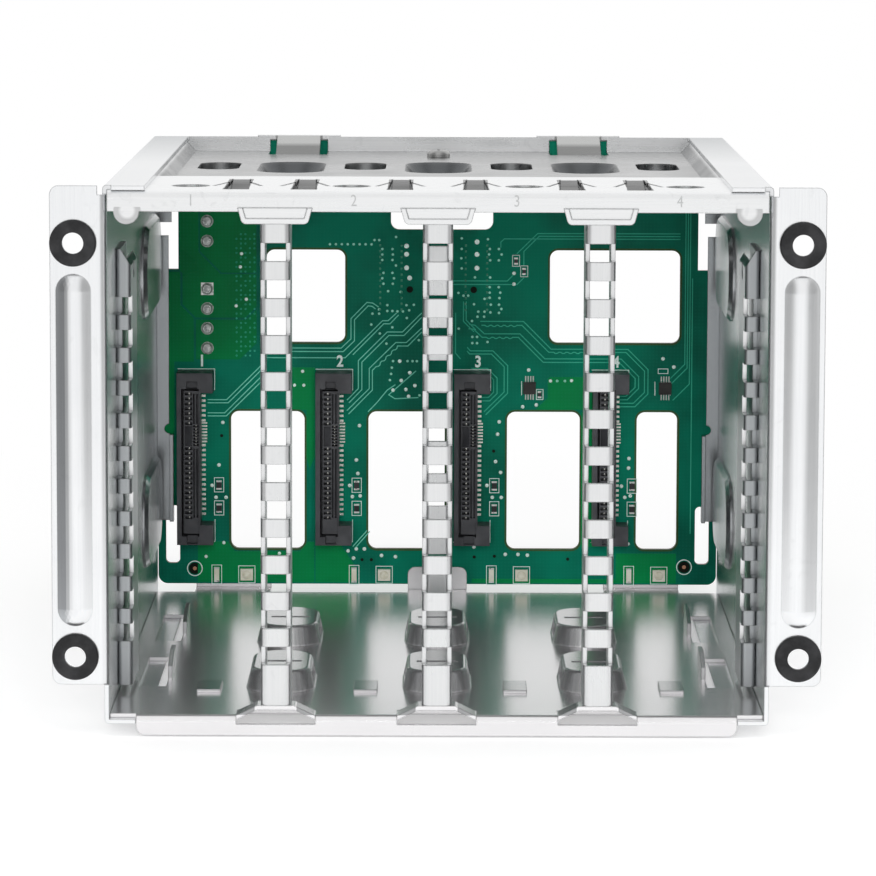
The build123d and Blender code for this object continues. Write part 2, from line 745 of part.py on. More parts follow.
def drive_connector(bay_x):
    """Receptacle for one drive: an eared body whose slot holds a comb over the contacts."""
    left = bay_x + connector_offset - ear_width / 2
    front = board_front - connector_height
    y = (front, board_front)
    part = block((left, left + body_width), y, (connector_low, connector_high))
    for z in ((connector_low, connector_low + ear_height), (connector_high - ear_height, connector_high)):
        part += block((left, left + ear_width), y, z)
    slot_x = (left + slot_inset, left + body_width - slot_wall)
    slot_z = (connector_low + slot_low_end, connector_high - slot_high_end)
    part -= block(slot_x, (front - 1, front + socket_depth), slot_z)
    notch_width, notch_depth, notch_height = key_notch
    notch_x = (slot_x[0] + notch_width / 2, slot_x[0] + notch_width * 1.5)
    for z in (slot_z[0] - notch_height / 2, slot_z[1] + notch_height - key_notch_gap):
        part -= block(notch_x, (front - 1, front + notch_depth), (z - notch_height / 2, z + notch_height / 2))
    comb_x = (slot_x[0] + comb_gap, slot_x[1])
    comb_y = (front + comb_drop, front + socket_depth)
    comb = block(comb_x, comb_y, (slot_z[0] + comb_gap, slot_z[1] - comb_gap))
    window_x = (comb_x[0] + comb_edge, comb_x[0] + comb_edge + comb_window_width)
    fine_x = (window_x[1] + comb_edge, comb_x[1] - comb_edge / 2)
    groups = ((power_first - contact_pitch * (power_count - 1), power_first),
              (contact_first - contact_pitch * (signal_count - 1), contact_first))
    for low, high in groups:
        for x in (fine_x[0], fine_x[0] + 2 * rail_groove):
            comb -= block((x, x + rail_groove), (front, front + comb_window_depth), (low, high))
    for z, width, fine in contact_rows():
        slit = fine_slit if fine else comb_slit
        xs = fine_x if fine else window_x
        comb -= block(xs, (front, front + comb_window_depth), (z - slit / 2, z + slit / 2))
    ramp = outline((window_x[0], front), (window_x[1], front), (window_x[1], front + comb_drop),
                   (window_x[0], front + comb_drop + ramp_drop))
    comb -= along_z(ramp, groups[0][1] + comb_slit, groups[1][0] - comb_slit)
    return part + comb


def drive_contacts(bay_x):
    """Row of contacts: each is a blade behind its window, a run along the board and a soldered tail."""
    left = bay_x + connector_offset - ear_width / 2
    blade_x = left + slot_inset + comb_gap + comb_edge + comb_window_width / 2
    fine_x = left + body_width - slot_wall - comb_edge - comb_slit
    contacts = []
    for height, width, fine in contact_rows():
        x = fine_x if fine else blade_x
        tail = left + body_width + (fine_tail if fine else contact_tail)
        z = (height - width / 2, height + width / 2)
        blade = block((x, x + contact_sheet), (board_front - connector_height + comb_drop + contact_tip, board_front), z)
        foot = block((x, tail), (board_front - contact_sheet, board_front), z)
        contacts.append(blade + foot)
    return Compound(children=contacts)


def brick(x, z, size):
    """Small block standing on the board's front face."""
    width, depth, height = size
    return block((x - width / 2, x + width / 2), (board_front - depth, board_front), (z - height / 2, z + height / 2))


def bus_chip(x):
    """Moulded chip with a row of bent legs at its top and bottom."""
    width, depth, height = chip_size
    part = brick(x, chip_z, chip_size)
    for k in range(chip_leg_count):
        leg_x = x + chip_leg_pitch * (k - (chip_leg_count - 1) / 2)
        xs = (leg_x - chip_leg_width / 2, leg_x + chip_leg_width / 2)
        for side in (-1, 1):
            edge = chip_z + side * height / 2
            z = sorted((edge - side * chip_leg_sheet, edge + side * chip_leg_reach))
            part += block(xs, (board_front - chip_leg_sheet, board_front), z)
            z = sorted((edge - side * chip_leg_sheet, edge + side * chip_leg_sheet))
            part += block(xs, (board_front - chip_leg_rise, board_front), z)
    return part


def resistors():
    """Two chip resistors beside each drive connector and three small ones near the data sockets and a chip."""
    parts = [brick(x + resistor_shift, z, resistor_size) for x in bay_xs for z in resistor_rows]
    parts += [brick(x, z, small_resistor_size) for x, z in small_resistor_places]
    return Compound(children=parts)


def power_header(z):
    """Open box header on the rear of the board."""
    half = header_length / 2
    xs = (header_x - header_width / 2, header_x + header_width / 2)
    part = block(xs, (board_back, board_back + header_height), (z - half, z + half))
    part = fillet(part.edges().filter_by(Axis.Y), header_wall * 0.8)
    inner = block((xs[0] + header_wall, xs[1] - header_wall),
                  (board_back + header_height - header_cavity, board_back + header_height + 1),
                  (z - half + header_wall, z + half - header_wall))
    return part - inner


def power_pins(z):
    """Four round pins: each runs from the header's mouth to a solder joint in front of the board."""
    pins = []
    for k in range(4):
        pin_z = z + header_pin_pitch * (1.5 - k)
        pins.append(cylinder_y(header_x, pin_z, header_pin_radius, board_front - header_pin_tail,
                               board_back + header_height - header_wall))
    return Compound(children=pins)


def data_socket(x):
    """Shielded data socket on the rear of the board."""
    half_x = data_width / 2
    half_z = data_length / 2
    part = block((x - half_x, x + half_x), (board_back, board_back + data_height), (data_z - half_z, data_z + half_z))
    inner = block((x - half_x + data_wall, x + half_x - data_wall),
                  (board_back + data_height - data_cavity, board_back + data_height + 1),
                  (data_z - half_z + data_wall, data_z + half_z - data_wall))
    return part - inner


def data_pins(x):
    """Two rows of press-in pins under one data socket."""
    pins = []
    half = data_pin_size / 2
    for side in (-1, 1):
        cx = x + side * data_width / 4
        for k in range(data_pin_count):
            z = data_z + data_pin_pitch * (k - (data_pin_count - 1) / 2)
            pins.append(block((cx - half, cx + half), (board_front - data_pin_tail, board_back + data_height - data_wall),
                              (z - half, z + half)))
    return Compound(children=pins)


def save(name, part):
    """Write one node."""
    export_step(part, "parts/" + name + ".step")


os.makedirs("parts", exist_ok=True)

right_wall = side_wall()
save("side_wall_right", right_wall)
save("side_wall_left", mirror(right_wall, Plane.YZ))
right_guide = guide_ladder()
save("guide_ladder_right", right_guide)
save("guide_ladder_left", mirror(right_guide, Plane.YZ))
save("floor_pan", floor_pan())
save("top_plate", top_plate())
for label, x in zip(("left", "center", "right"), divider_xs):
    save("divider_" + label, Pos(x, 0, 0) * divider(z_bridge, divider_top))
save("rear_post", rear_post())
save("post_screw", post_screw())
for side, x in (("left", -hole_spacing_x / 2), ("right", hole_spacing_x / 2)):
    for level, z in (("lower", -hole_spacing_z / 2), ("upper", hole_spacing_z / 2)):
        save("flange_ring_" + level + "_" + side, flange_ring(x, z))

circuit_board = board()
for z in header_centres:
    for pin in power_pins(z).children:
        circuit_board -= pin
for x in data_centres:
    for pin in data_pins(x).children:
        circuit_board -= pin
save("backplane_board", circuit_board)
for number, x in enumerate(bay_xs, start=1):
    save("drive_connector_" + str(number), drive_connector(x))
    save("drive_contacts_" + str(number), drive_contacts(x))
save("activity_lights", Compound(children=[brick(x + square_light_shift, light_z, square_light_size) for x in bay_xs]))
save("fault_lights", Compound(children=[brick(x + tall_light_shift, light_z, tall_light_size) for x in bay_xs]))
save("bus_chips", Compound(children=[bus_chip(x + shift) for x, shift in zip(bay_xs[2:], chip_shifts)]))
save("chip_resistors", resistors())
for label, z in zip(("upper", "lower"), header_centres):
    save("power_header_" + label, power_header(z))
    save("power_pins_" + label, power_pins(z))
for label, x in zip(("left", "right"), data_centres):
    save("data_socket_" + label, data_socket(x))
    save("data_pins_" + label, data_pins(x))
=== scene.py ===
"""Hot swap drive cage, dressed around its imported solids: bright rolled zinc sheet, a printed
connector board across the rear, and a plain pale studio."""
import json
import math

import bmesh
import bpy
import numpy as np
from mathutils import Matrix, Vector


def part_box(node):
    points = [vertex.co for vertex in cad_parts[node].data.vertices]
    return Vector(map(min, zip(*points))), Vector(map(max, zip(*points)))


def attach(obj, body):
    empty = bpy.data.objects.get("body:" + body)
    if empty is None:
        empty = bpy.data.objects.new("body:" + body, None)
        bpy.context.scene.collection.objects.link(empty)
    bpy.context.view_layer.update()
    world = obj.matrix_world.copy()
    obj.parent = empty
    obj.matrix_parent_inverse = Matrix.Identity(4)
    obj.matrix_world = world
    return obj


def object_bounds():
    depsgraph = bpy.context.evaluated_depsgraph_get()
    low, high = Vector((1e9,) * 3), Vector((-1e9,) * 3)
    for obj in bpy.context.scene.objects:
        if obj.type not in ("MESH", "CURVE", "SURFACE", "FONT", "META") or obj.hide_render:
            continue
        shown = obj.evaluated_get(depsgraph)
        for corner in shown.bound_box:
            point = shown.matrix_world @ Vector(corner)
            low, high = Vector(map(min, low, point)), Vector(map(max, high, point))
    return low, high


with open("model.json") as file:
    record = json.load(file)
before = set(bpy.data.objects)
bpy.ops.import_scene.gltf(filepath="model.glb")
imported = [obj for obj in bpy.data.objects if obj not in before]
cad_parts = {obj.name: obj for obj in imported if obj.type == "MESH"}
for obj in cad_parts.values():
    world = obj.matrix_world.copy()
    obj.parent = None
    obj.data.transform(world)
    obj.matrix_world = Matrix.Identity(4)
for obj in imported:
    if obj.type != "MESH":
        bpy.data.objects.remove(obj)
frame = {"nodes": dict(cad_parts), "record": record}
nodes = frame["nodes"]
cad_box = [list(corner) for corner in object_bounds()]

# -----------------------------------------------------------------------------
# Side walls. Each is one sheet of zinc plated steel, folded out at the front for its flange and
# in at the top, bottom and rear, with two pressed ovals. The mill's rolling lines run upright.
MM = 0.001


def shade(tree, kind, values=None, **settings):
    """Add a shader node; values are numbers or sockets by input name or number."""
    node = tree.nodes.new(kind)
    for key, value in settings.items():
        setattr(node, key, value)
    for key, value in (values or {}).items():
        if isinstance(value, bpy.types.NodeSocket):
            tree.links.new(value, node.inputs[key])
        else:
            node.inputs[key].default_value = value
    return node


def reckon(operation, *values):
    """Add a Math node to the tree of the sockets that it reads, and return its result."""
    tree = next(value.id_data for value in values if isinstance(value, bpy.types.NodeSocket))
    return shade(tree, "ShaderNodeMath", dict(enumerate(values)), operation=operation).outputs[0]


def over(value, level):
    """1 where a value is above a level."""
    return reckon("GREATER_THAN", value, level)


def under(value, level):
    """1 where a value is below a level."""
    return reckon("LESS_THAN", value, level)


def both(first, *others):
    """Product of masks: 1 where all of them are 1."""
    for mask in others:
        first = reckon("MULTIPLY", first, mask)
    return first


def spread(value, low, high, to_low=0.0, to_high=1.0):
    """Map a value from one range to another, held at both ends."""
    ends = {0: value, 1: low, 2: high, 3: to_low, 4: to_high}
    return shade(value.id_data, "ShaderNodeMapRange", ends).outputs[0]


def blend_colours(factor, first, second, blend="MIX"):
    """Mix two colours by a mask; a plain colour is opaque."""
    first, second = (c if isinstance(c, bpy.types.NodeSocket) else (*c, 1) for c in (first, second))
    return shade(factor.id_data, "ShaderNodeMix", {0: factor, 6: first, 7: second},
                 data_type="RGBA", blend_type=blend).outputs[2]


def on_piece(tree):
    """The place on the piece, in metres: its object coordinates."""
    return shade(tree, "ShaderNodeTexCoord").outputs["Object"]


def axes(vector):
    """The X, Y and Z of a vector."""
    return shade(vector.id_data, "ShaderNodeSeparateXYZ", {0: vector}).outputs


def facing(tree):
    """The X, Y and Z of the face's own normal."""
    return axes(shade(tree, "ShaderNodeNewGeometry").outputs["True Normal"])


def noise(place, scale, detail=2.0, **more):
    """Noise read at a place; the scale is its cells in each metre."""
    values = {"Vector": place, "Scale": scale, "Detail": detail, **more}
    return shade(place.id_data, "ShaderNodeTexNoise", values).outputs[0]


def bump(strength, depth, height, **more):
    """Normal of a fine relief, its depth in metres."""
    values = {"Strength": strength, "Distance": depth, "Height": height, **more}
    return shade(height.id_data, "ShaderNodeBump", values).outputs[0]


def effect(name, given, made):
    """Start a node group with named sockets; returns the group, its input sockets and its output node."""
    group = bpy.data.node_groups.new(name, "ShaderNodeTree")
    for label, kind in given:
        group.interface.new_socket(label, in_out="INPUT", socket_type="NodeSocket" + kind)
    for label, kind in made:
        group.interface.new_socket(label, in_out="OUTPUT", socket_type="NodeSocket" + kind)
    return group, group.nodes.new("NodeGroupInput").outputs, group.nodes.new("NodeGroupOutput")


def feed(node, **sockets):
    """Link sockets to a node's inputs by name."""
    for key, socket in sockets.items():
        node.id_data.links.new(socket, node.inputs[key.replace("_", " ")])


def new_material(name, **constants):
    """A material with one Principled shader, whose plain numbers are set on its own sockets."""
    material = bpy.data.materials.new(name)
    material.use_nodes = True
    tree = material.node_tree
    tree.nodes.clear()
    surface = shade(tree, "ShaderNodeBsdfPrincipled")
    for key, value in constants.items():
        surface.inputs[key.replace("_", " ")].default_value = value
    shade(tree, "ShaderNodeOutputMaterial", {0: surface.outputs[0]})
    return material, tree, surface


def dress(material, *names):
    """Give CAD nodes a material."""
    for name in names:
        for slot in nodes[name].material_slots:
            slot.material = material


zinc, zinc_in, zinc_out = effect(
    "rolled zinc",
    (("Tone", "Color"), ("Shade", "Color"), ("Roll", "Vector"), ("Roughness", "Float"),
     ("Wear", "Float"), ("Edge", "Float"), ("Rim", "Color"), ("Relief", "Float")),
    (("Color", "Color"), ("Roughness", "Float"), ("Normal", "Vector")))
scuff_grey = (0.50, 0.51, 0.52)
edge_radius = 0.34 * MM
zinc_place = on_piece(zinc)
zinc_lines = shade(zinc, "ShaderNodeMapping", {"Vector": zinc_place, "Scale": zinc_in["Roll"]}).outputs[0]
zinc_streak = noise(zinc_lines, 1.0, 3.0)
zinc_cloud = noise(zinc_place, 55.0, 4.0)
zinc_speck = noise(zinc_place, 1400.0)
zinc_scratch = noise(zinc_place, 260.0, 5.0, Distortion=1.5)
zinc_mixed = reckon("MULTIPLY_ADD", zinc_streak, 0.5, reckon("MULTIPLY", zinc_cloud, 0.5))
zinc_colour = blend_colours(spread(zinc_mixed, 0.36, 0.62), zinc_in["Shade"], zinc_in["Tone"])
zinc_worn = both(spread(zinc_scratch, 0.62, 0.72), zinc_in["Wear"])
zinc_colour = blend_colours(zinc_worn, zinc_colour, scuff_grey)
zinc_uneven = reckon("ADD", spread(zinc_cloud, 0.3, 0.7, -0.09, 0.13), spread(zinc_streak, 0.3, 0.7, -0.07, 0.08))
zinc_rough = reckon("MULTIPLY_ADD", zinc_uneven, zinc_in["Relief"], zinc_in["Roughness"])
# Painted reflection along the edges: where the rounded normal turns away from the face's own normal, the colour goes
# towards the Rim tone. That is painted shade where the tone is dark and a painted highlight where it is light.
zinc_round = shade(zinc, "ShaderNodeBevel", {"Radius": edge_radius}, samples=4).outputs[0]
zinc_flat = shade(zinc, "ShaderNodeNewGeometry").outputs["True Normal"]
zinc_turn = shade(zinc, "ShaderNodeVectorMath", {0: zinc_round, 1: zinc_flat},
                  operation="DOT_PRODUCT").outputs["Value"]
zinc_painted_rim = both(spread(zinc_turn, 0.995, 0.86), zinc_in["Edge"])
zinc_colour = blend_colours(zinc_painted_rim, zinc_colour, zinc_in["Rim"])
zinc_relief = reckon("MULTIPLY_ADD", zinc_cloud, 5.0, reckon("ADD", zinc_streak, zinc_speck))
feed(zinc_out, Color=zinc_colour, Roughness=zinc_rough,
     Normal=bump(zinc_in["Relief"], 0.000004, zinc_relief, Normal=zinc_round))


def zinc_sheet(name, roll, tone, dark, roughness, wear, edge=0.6, rim=(0.16, 0.165, 0.17), relief=0.6, metallic=1.0):
    """Zinc plated sheet; roll is the pattern's scale along each axis, smallest along the rolling lines; edge is how
    strongly its edges take the rim tone, painted shade where rim is dark and a painted highlight where it is light.
    """
    material, tree, surface = new_material(name, Metallic=metallic, IOR=1.5)
    look = shade(tree, "ShaderNodeGroup", node_tree=zinc)
    for key, value in (("Tone", (*tone, 1)), ("Shade", (*dark, 1)), ("Roll", roll), ("Roughness", roughness),
                       ("Wear", wear), ("Edge", edge), ("Rim", (*rim, 1)), ("Relief", relief)):
        look.inputs[key].default_value = value
    made = look.outputs
    feed(surface, Base_Color=made["Color"], Roughness=made["Roughness"], Normal=made["Normal"])
    return material


def repaint(material, mask, tone, blend="MULTIPLY"):
    """Where the mask is 1, multiply a material's colour by a tone, or with MIX replace it."""
    surface = material.node_tree.nodes["Principled BSDF"]
    before = surface.inputs["Base Color"].links[0].from_socket
    feed(surface, Base_Color=blend_colours(mask, before, tone, blend))


def along(material):
    """The X, Y and Z of a material's place on its piece, in metres."""
    return axes(on_piece(material.node_tree))


wall_zinc = zinc_sheet("wall zinc", (2400, 2400, 40), (0.95, 0.96, 0.97), (0.89, 0.90, 0.915), 0.25, 0.08,
                       relief=0.12)
flange_back, ridge_front, ridge_from = 1.3 * MM, 0.6 * MM, 74.5 * MM
inside_reach, sheet_end = 72.9 * MM, 179.9 * MM
# Painted shade on the walls: every face behind the flange's front is a little darker, the left ridge's outer side
# darker, and the inside faces darker towards the rear. A face looks inwards where its normal and its place differ in
# sign along X.
wall_x, wall_y, _ = along(wall_zinc)
wall_out = facing(wall_zinc.node_tree)[0]
# Painted shade: behind the flange's front face the sheet is a little darker.
repaint(wall_zinc, over(wall_y, flange_back), (0.875, 0.875, 0.875))
# Painted shade on the outer slope of the left ridge.
ridge_painted_shade = both(spread(wall_out, -0.12, -0.4), under(wall_x, -ridge_from), under(wall_y, ridge_front))
repaint(wall_zinc, ridge_painted_shade, (0.48, 0.49, 0.50))
# Painted shade on the inside faces, deepening towards the rear of the cage.
wall_inside = both(under(reckon("ABSOLUTE", wall_x), inside_reach), under(reckon("MULTIPLY", wall_out, wall_x), 0.01))
rear_painted_shade = both(spread(wall_y, 80 * MM, 176 * MM), under(wall_y, sheet_end))
repaint(wall_zinc, both(rear_painted_shade, wall_inside), (0.52, 0.54, 0.55))
dress(wall_zinc, "side_wall_left", "side_wall_right")

# -----------------------------------------------------------------------------
# Floor pan. The same sheet with its rolling lines from front to rear, scuffed where carriers
# slide, its bosses, bridges and fingers pressed from it and spot welded to the walls.
floor_zinc = zinc_sheet("floor zinc", (2600, 60, 2600), (0.84, 0.83, 0.84), (0.80, 0.79, 0.80), 0.21, 0.08,
                        relief=0.06, metallic=0.80)
floor_level = -58.4 * MM
bridge_end, bosses_from, bosses_to = 6.5 * MM, 8 * MM, 178 * MM
bay_pitch, foot_half = 35.4, 4.6
# Painted shade: the bridges' wings at the front much darker, and the bosses and fingers raised from the floor a
# little darker.
floor_x, floor_y, floor_z = along(floor_zinc)


def nearest(value, *centres):
    """Distance in millimetres from the nearest of the given places, the same on both sides of the middle."""
    away = reckon("MULTIPLY", reckon("ABSOLUTE", value), 1 / MM)
    gaps = [reckon("ABSOLUTE", reckon("SUBTRACT", away, centre)) for centre in centres]
    least = gaps[0]
    for gap in gaps[1:]:
        least = reckon("MINIMUM", least, gap)
    return least


# Painted shade on the raised front bridges, away from the divider feet: their wings.
raised = both(under(floor_y, bridge_end), over(floor_z, floor_level))
repaint(floor_zinc, both(raised, over(nearest(floor_x, 0.0, bay_pitch), foot_half)), (0.42, 0.43, 0.43))
# Painted shade on the bosses and fingers raised from the floor between front and rear.
among_bosses = both(over(floor_y, bosses_from), under(floor_y, bosses_to))
pressed = both(among_bosses, spread(floor_z, floor_level + 0.1 * MM, floor_level + 0.5 * MM))
repaint(floor_zinc, pressed, (0.66, 0.67, 0.67))
dress(floor_zinc, "floor_pan")

# -----------------------------------------------------------------------------
# Top plate. The brightest sheet, rolled across the cage, pressed into a sunk middle with drawn
# cups and collars, and folded down for the front lip that carries the dividers.
top_zinc = zinc_sheet("top zinc", (50, 2400, 2400), (0.93, 0.935, 0.94), (0.85, 0.86, 0.865), 0.27, 0.15, edge=0.8)
bar_level, lip_back, rear_lip_front = 57.0 * MM, 1.2 * MM, 178.9 * MM
# Painted shade: the sunk middle, its cups and their slopes, the tongues, the hook ramps and rings round the lip's
# bosses are darker than the bar.
top_x, top_y, top_z = along(top_zinc)


def within(value, low, high):
    """1 between two places, given in millimetres."""
    return both(over(value, low * MM), under(value, high * MM))


# Painted shade over the sunk middle behind the lip.
below_bar = spread(top_z, bar_level - 0.2 * MM, bar_level - 1.0 * MM)
sunk = both(over(top_y, lip_back), under(top_y, rear_lip_front), below_bar)
repaint(top_zinc, sunk, (0.41, 0.41, 0.41))
# Painted shade in the cups' floors, and darker still on their sloping walls.
cup_floor_shade = both(sunk, spread(top_z, bar_level - 2.8 * MM, bar_level - 3.4 * MM))
repaint(top_zinc, cup_floor_shade, (0.80, 0.81, 0.82))
cup_tilt = reckon("ABSOLUTE", facing(top_zinc.node_tree)[2])
repaint(top_zinc, both(sunk, spread(cup_tilt, 0.97, 0.85), spread(cup_tilt, 0.2, 0.4)), (0.42, 0.43, 0.44))
tongues = (8.3, bay_pitch - 6.1, bay_pitch + 8.7)
# Painted shade: the tongues that lean down into the cage nearly black.
tongue_painted_shade = both(under(nearest(top_x, *tongues), 2.75), within(top_y, 13.5, 36.5))
repaint(top_zinc, tongue_painted_shade, (0.12, 0.12, 0.12))
# Painted shade on the sloped ramps that rise to the rear hook.
hook_painted_shade = both(under(nearest(top_x, bay_pitch + 0.1), 6.0), within(top_y, 166.0, 180.0))
repaint(top_zinc, hook_painted_shade, (0.55, 0.55, 0.54))
# Painted shade: a darker ring round each of the lip's two half-round bosses.
lip_boss_x, lip_boss_z = 67.5, 52.6
boss_away = nearest(top_x, lip_boss_x)
boss_rise = reckon("MULTIPLY_ADD", top_z, 1 / MM, -lip_boss_z)
boss_reach = reckon("SQRT", reckon("MULTIPLY_ADD", boss_rise, boss_rise, reckon("MULTIPLY", boss_away, boss_away)))
boss_painted_ring = both(spread(boss_reach, 1.3, 2.0), spread(boss_reach, 3.1, 2.8))
boss_low = both(under(top_y, 0.5 * MM), under(top_z, (lip_boss_z + 0.8) * MM))
repaint(top_zinc, both(boss_painted_ring, boss_low), (0.68, 0.68, 0.68))
dress(top_zinc, "top_plate")

# Post screw. A plated pan head screw that ties the top plate to the rear post: cold headed, so
# duller and more uneven than the rolled sheet.
screw_zinc = zinc_sheet("screw zinc", (700, 700, 700), (0.52, 0.52, 0.51), (0.30, 0.30, 0.30), 0.30, 0.3)
dress(screw_zinc, "post_screw")

# -----------------------------------------------------------------------------
# Ladder dividers, rear post and guide ladders. Narrow pressed channels of the same sheet, their rungs blanked out.
# The guide ladders' sheet is painted darker, a painted shade, with a painted highlight along its edges and on the
# inner leg's face beside the windows.
ladder_zinc = zinc_sheet("ladder zinc", (2400, 2400, 90), (0.83, 0.835, 0.84), (0.77, 0.78, 0.785), 0.30, 0.12,
                         relief=0.4)
dress(ladder_zinc, "divider_left", "divider_center", "divider_right", "rear_post")
# Guide ladders: the same sheet in a darker tone, a painted shade, with a light rim along the edges, a painted
# highlight.
guide_shaded_zinc = zinc_sheet("guide zinc", (2400, 2400, 90), (0.44, 0.46, 0.47), (0.41, 0.43, 0.44), 0.30, 0.1,
                        edge=0.5, rim=(0.75, 0.76, 0.76), relief=0.2)
window_depth, leg_width = 6 * MM, 1.1 * MM
guide_low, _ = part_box("guide_ladder_right")
guide_x, guide_y, _ = along(guide_shaded_zinc)
# Painted highlight: the inner leg's face at the windows' depth is nearly white.
highlight_face = under(reckon("ABSOLUTE", reckon("SUBTRACT", guide_y, guide_low.y + window_depth)), 0.1 * MM)
inner_leg = under(reckon("ABSOLUTE", guide_x), guide_low.x + leg_width)
repaint(guide_shaded_zinc, both(highlight_face, inner_leg), (0.97, 0.97, 0.97), "MIX")
dress(guide_shaded_zinc, "guide_ladder_left", "guide_ladder_right")

# -----------------------------------------------------------------------------
# Flange rings. Matt black rubber washers, punched from sheet, that lie round the four bolt holes
# on the front faces of the flanges.
rubber, rubber_tree, rubber_surface = new_material("ring rubber", Specular_IOR_Level=0.35)
rubber_place = on_piece(rubber_tree)
rubber_grain = noise(rubber_place, 1700.0, 4.0)
rubber_dust = spread(noise(rubber_place, 240.0, 3.0), 0.4, 0.75)
feed(rubber_surface, Base_Color=blend_colours(rubber_dust, (0.011, 0.011, 0.012), (0.032, 0.032, 0.034)),
     Roughness=spread(rubber_grain, 0.3, 0.7, 0.52, 0.72), Normal=bump(0.6, 0.00002, rubber_grain))
dress(rubber, *[f"flange_ring_{level}_{side}" for level in ("lower", "upper") for side in ("left", "right")])

# -----------------------------------------------------------------------------
# Backplane board. Glass fibre board with a glossy green solder mask; its milled edges show the
# brown glass, and the weave stands faintly through the mask.
board_low, board_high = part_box("backplane_board")
board_front, board_back = board_low.y, board_high.y
glass_brown, weave_green = (0.14, 0.11, 0.045), (0.03, 0.34, 0.22)
mask_depth = 0.06 * MM


def masked_board(name, light, dark, roughness):
    """Solder mask over glass weave: two crossed waves, 0.9 mm apart, and slow clouds of colour."""
    material, tree, surface = new_material(name, Specular_IOR_Level=0.07)
    place = on_piece(tree)
    cloud = noise(place, 48.0, 3.0)
    colour = blend_colours(spread(cloud, 0.36, 0.64), dark, light)
    weave = both(*[shade(tree, "ShaderNodeTexWave", {"Vector": place, "Scale": 350.0}, bands_direction=way).outputs[1]
                   for way in "XZ"])
    colour = blend_colours(reckon("MULTIPLY", weave, 0.08), colour, weave_green)
    from_middle = reckon("ABSOLUTE", reckon("SUBTRACT", axes(place)[1], (board_front + board_back) / 2))
    core = under(from_middle, (board_back - board_front) / 2 - mask_depth)
    feed(surface, Base_Color=blend_colours(core, colour, glass_brown),
         Roughness=spread(cloud, 0.3, 0.7, roughness - 0.05, roughness + 0.07), Normal=bump(0.5, 0.00001, weave))
    return material


board_mask = masked_board("board mask", (0.003, 0.215, 0.130), (0.003, 0.120, 0.076), 0.34)
dress(board_mask, "backplane_board")


# -----------------------------------------------------------------------------
# Copper pours. Wide copper areas under the mask, a shade brighter than the bare board, with
# narrow isolation gaps between the supply nets round the power pins.
def mesh_piece(name, shells, material):
    """One object from closed shells, each points and faces: doubles merged, faces turned outwards."""
    points, faces, start = [], [], 0
    for shell_points, shell_faces in shells:
        points.append(np.asarray(shell_points, float).reshape(-1, 3))
        faces += [[start + int(i) for i in face] for face in shell_faces]
        start += len(points[-1])
    mesh = bpy.data.meshes.new(name)
    mesh.from_pydata(np.vstack(points).tolist(), [], faces)
    work = bmesh.new()
    work.from_mesh(mesh)
    bmesh.ops.remove_doubles(work, verts=work.verts, dist=1e-7)
    bmesh.ops.recalc_face_normals(work, faces=work.faces)
    work.to_mesh(mesh)
    work.free()
    mesh.materials.append(material)
    piece = bpy.data.objects.new(name, mesh)
    bpy.context.scene.collection.objects.link(piece)
    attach(piece, "root")


def plate(outline, height, foot=0.01):
    """Prism on the board's front: an outline in millimetres of X and Z, raised by its height, its foot sunk in."""
    outline = np.asarray(outline, float) * MM
    count = len(outline)
    depth = np.array((board_front + foot * MM, board_front - height * MM))
    points = np.empty((2, count, 3))
    points[..., 0], points[..., 2] = outline[:, 0], outline[:, 1]
    points[..., 1] = depth[:, None]
    ring = np.arange(count)
    after = np.roll(ring, -1)
    sides = np.column_stack((ring, after, after + count, ring + count))
    return points, [*sides.tolist(), ring.tolist(), (ring + count).tolist()]


pour_mask = masked_board("pour mask", (0.002, 0.248, 0.069), (0.002, 0.176, 0.050), 0.30)
pour_height = 0.035
supply_pours = [
    [(-60.9, 56.4), (-46.5, 56.4), (-46.5, 23.15), (-55.45, 23.15), (-60.9, 28.6)],
    [(-66.1, 56.4), (-61.3, 56.4), (-61.3, 28.4), (-55.65, 22.75), (-46.5, 22.75), (-46.5, 14.4), (-49.3, 11.6),
     (-62.05, 11.6), (-65.4, 14.95), (-65.4, 22.9), (-66.1, 23.6)],
    [(-62.0, 11.0), (-49.1, 11.0), (-46.5, 13.6), (-46.5, 5.0), (-50.9, 0.8), (-62.0, 0.8)],
    [(-71.4, 23.3), (-66.2, 23.3), (-66.0, 22.6), (-66.0, 14.8), (-62.6, 11.4), (-62.6, 0.2), (-67.6, 0.2),
     (-67.6, -36.0), (-71.4, -36.0)],
]
signal_pours = [
    [(28.2, -4.0), (28.7, -3.5), (40.6, -3.5), (40.6, -11.9), (25.1, -11.9), (28.2, -8.9)],
    [(-37.3, -1.2), (-31.6, -1.2), (-31.6, -24.4), (-32.9, -27.4), (-33.7, -24.4), (-33.7, -12.2),
     (-37.3, -12.0)],
    [(-61.7, -46.4), (-54.0, -46.4), (-52.2, -48.9), (-35.4, -48.9), (-33.4, -46.4), (-31.7, -46.4),
     (-31.7, -56.9),
     (-61.7, -56.9)],
    [(-31.4, -46.3), (-25.5, -46.3), (-21.6, -52.0), (-21.6, -56.9), (-31.4, -56.9)],
    [(8.9, -55.9), (46.0, -55.9), (46.0, -49.2), (61.5, -49.2), (61.5, -56.9), (8.9, -56.9)],
    [(36.9, -12.6), (40.6, -12.6), (40.6, -47.5), (36.9, -47.5)],
]
mesh_piece("supply_pours", [plate(outline, pour_height) for outline in supply_pours], pour_mask)
bright_mask = masked_board("bright mask", (0.003, 0.275, 0.076), (0.003, 0.205, 0.060), 0.30)
mesh_piece("signal_pours", [plate(outline, pour_height) for outline in signal_pours], bright_mask)


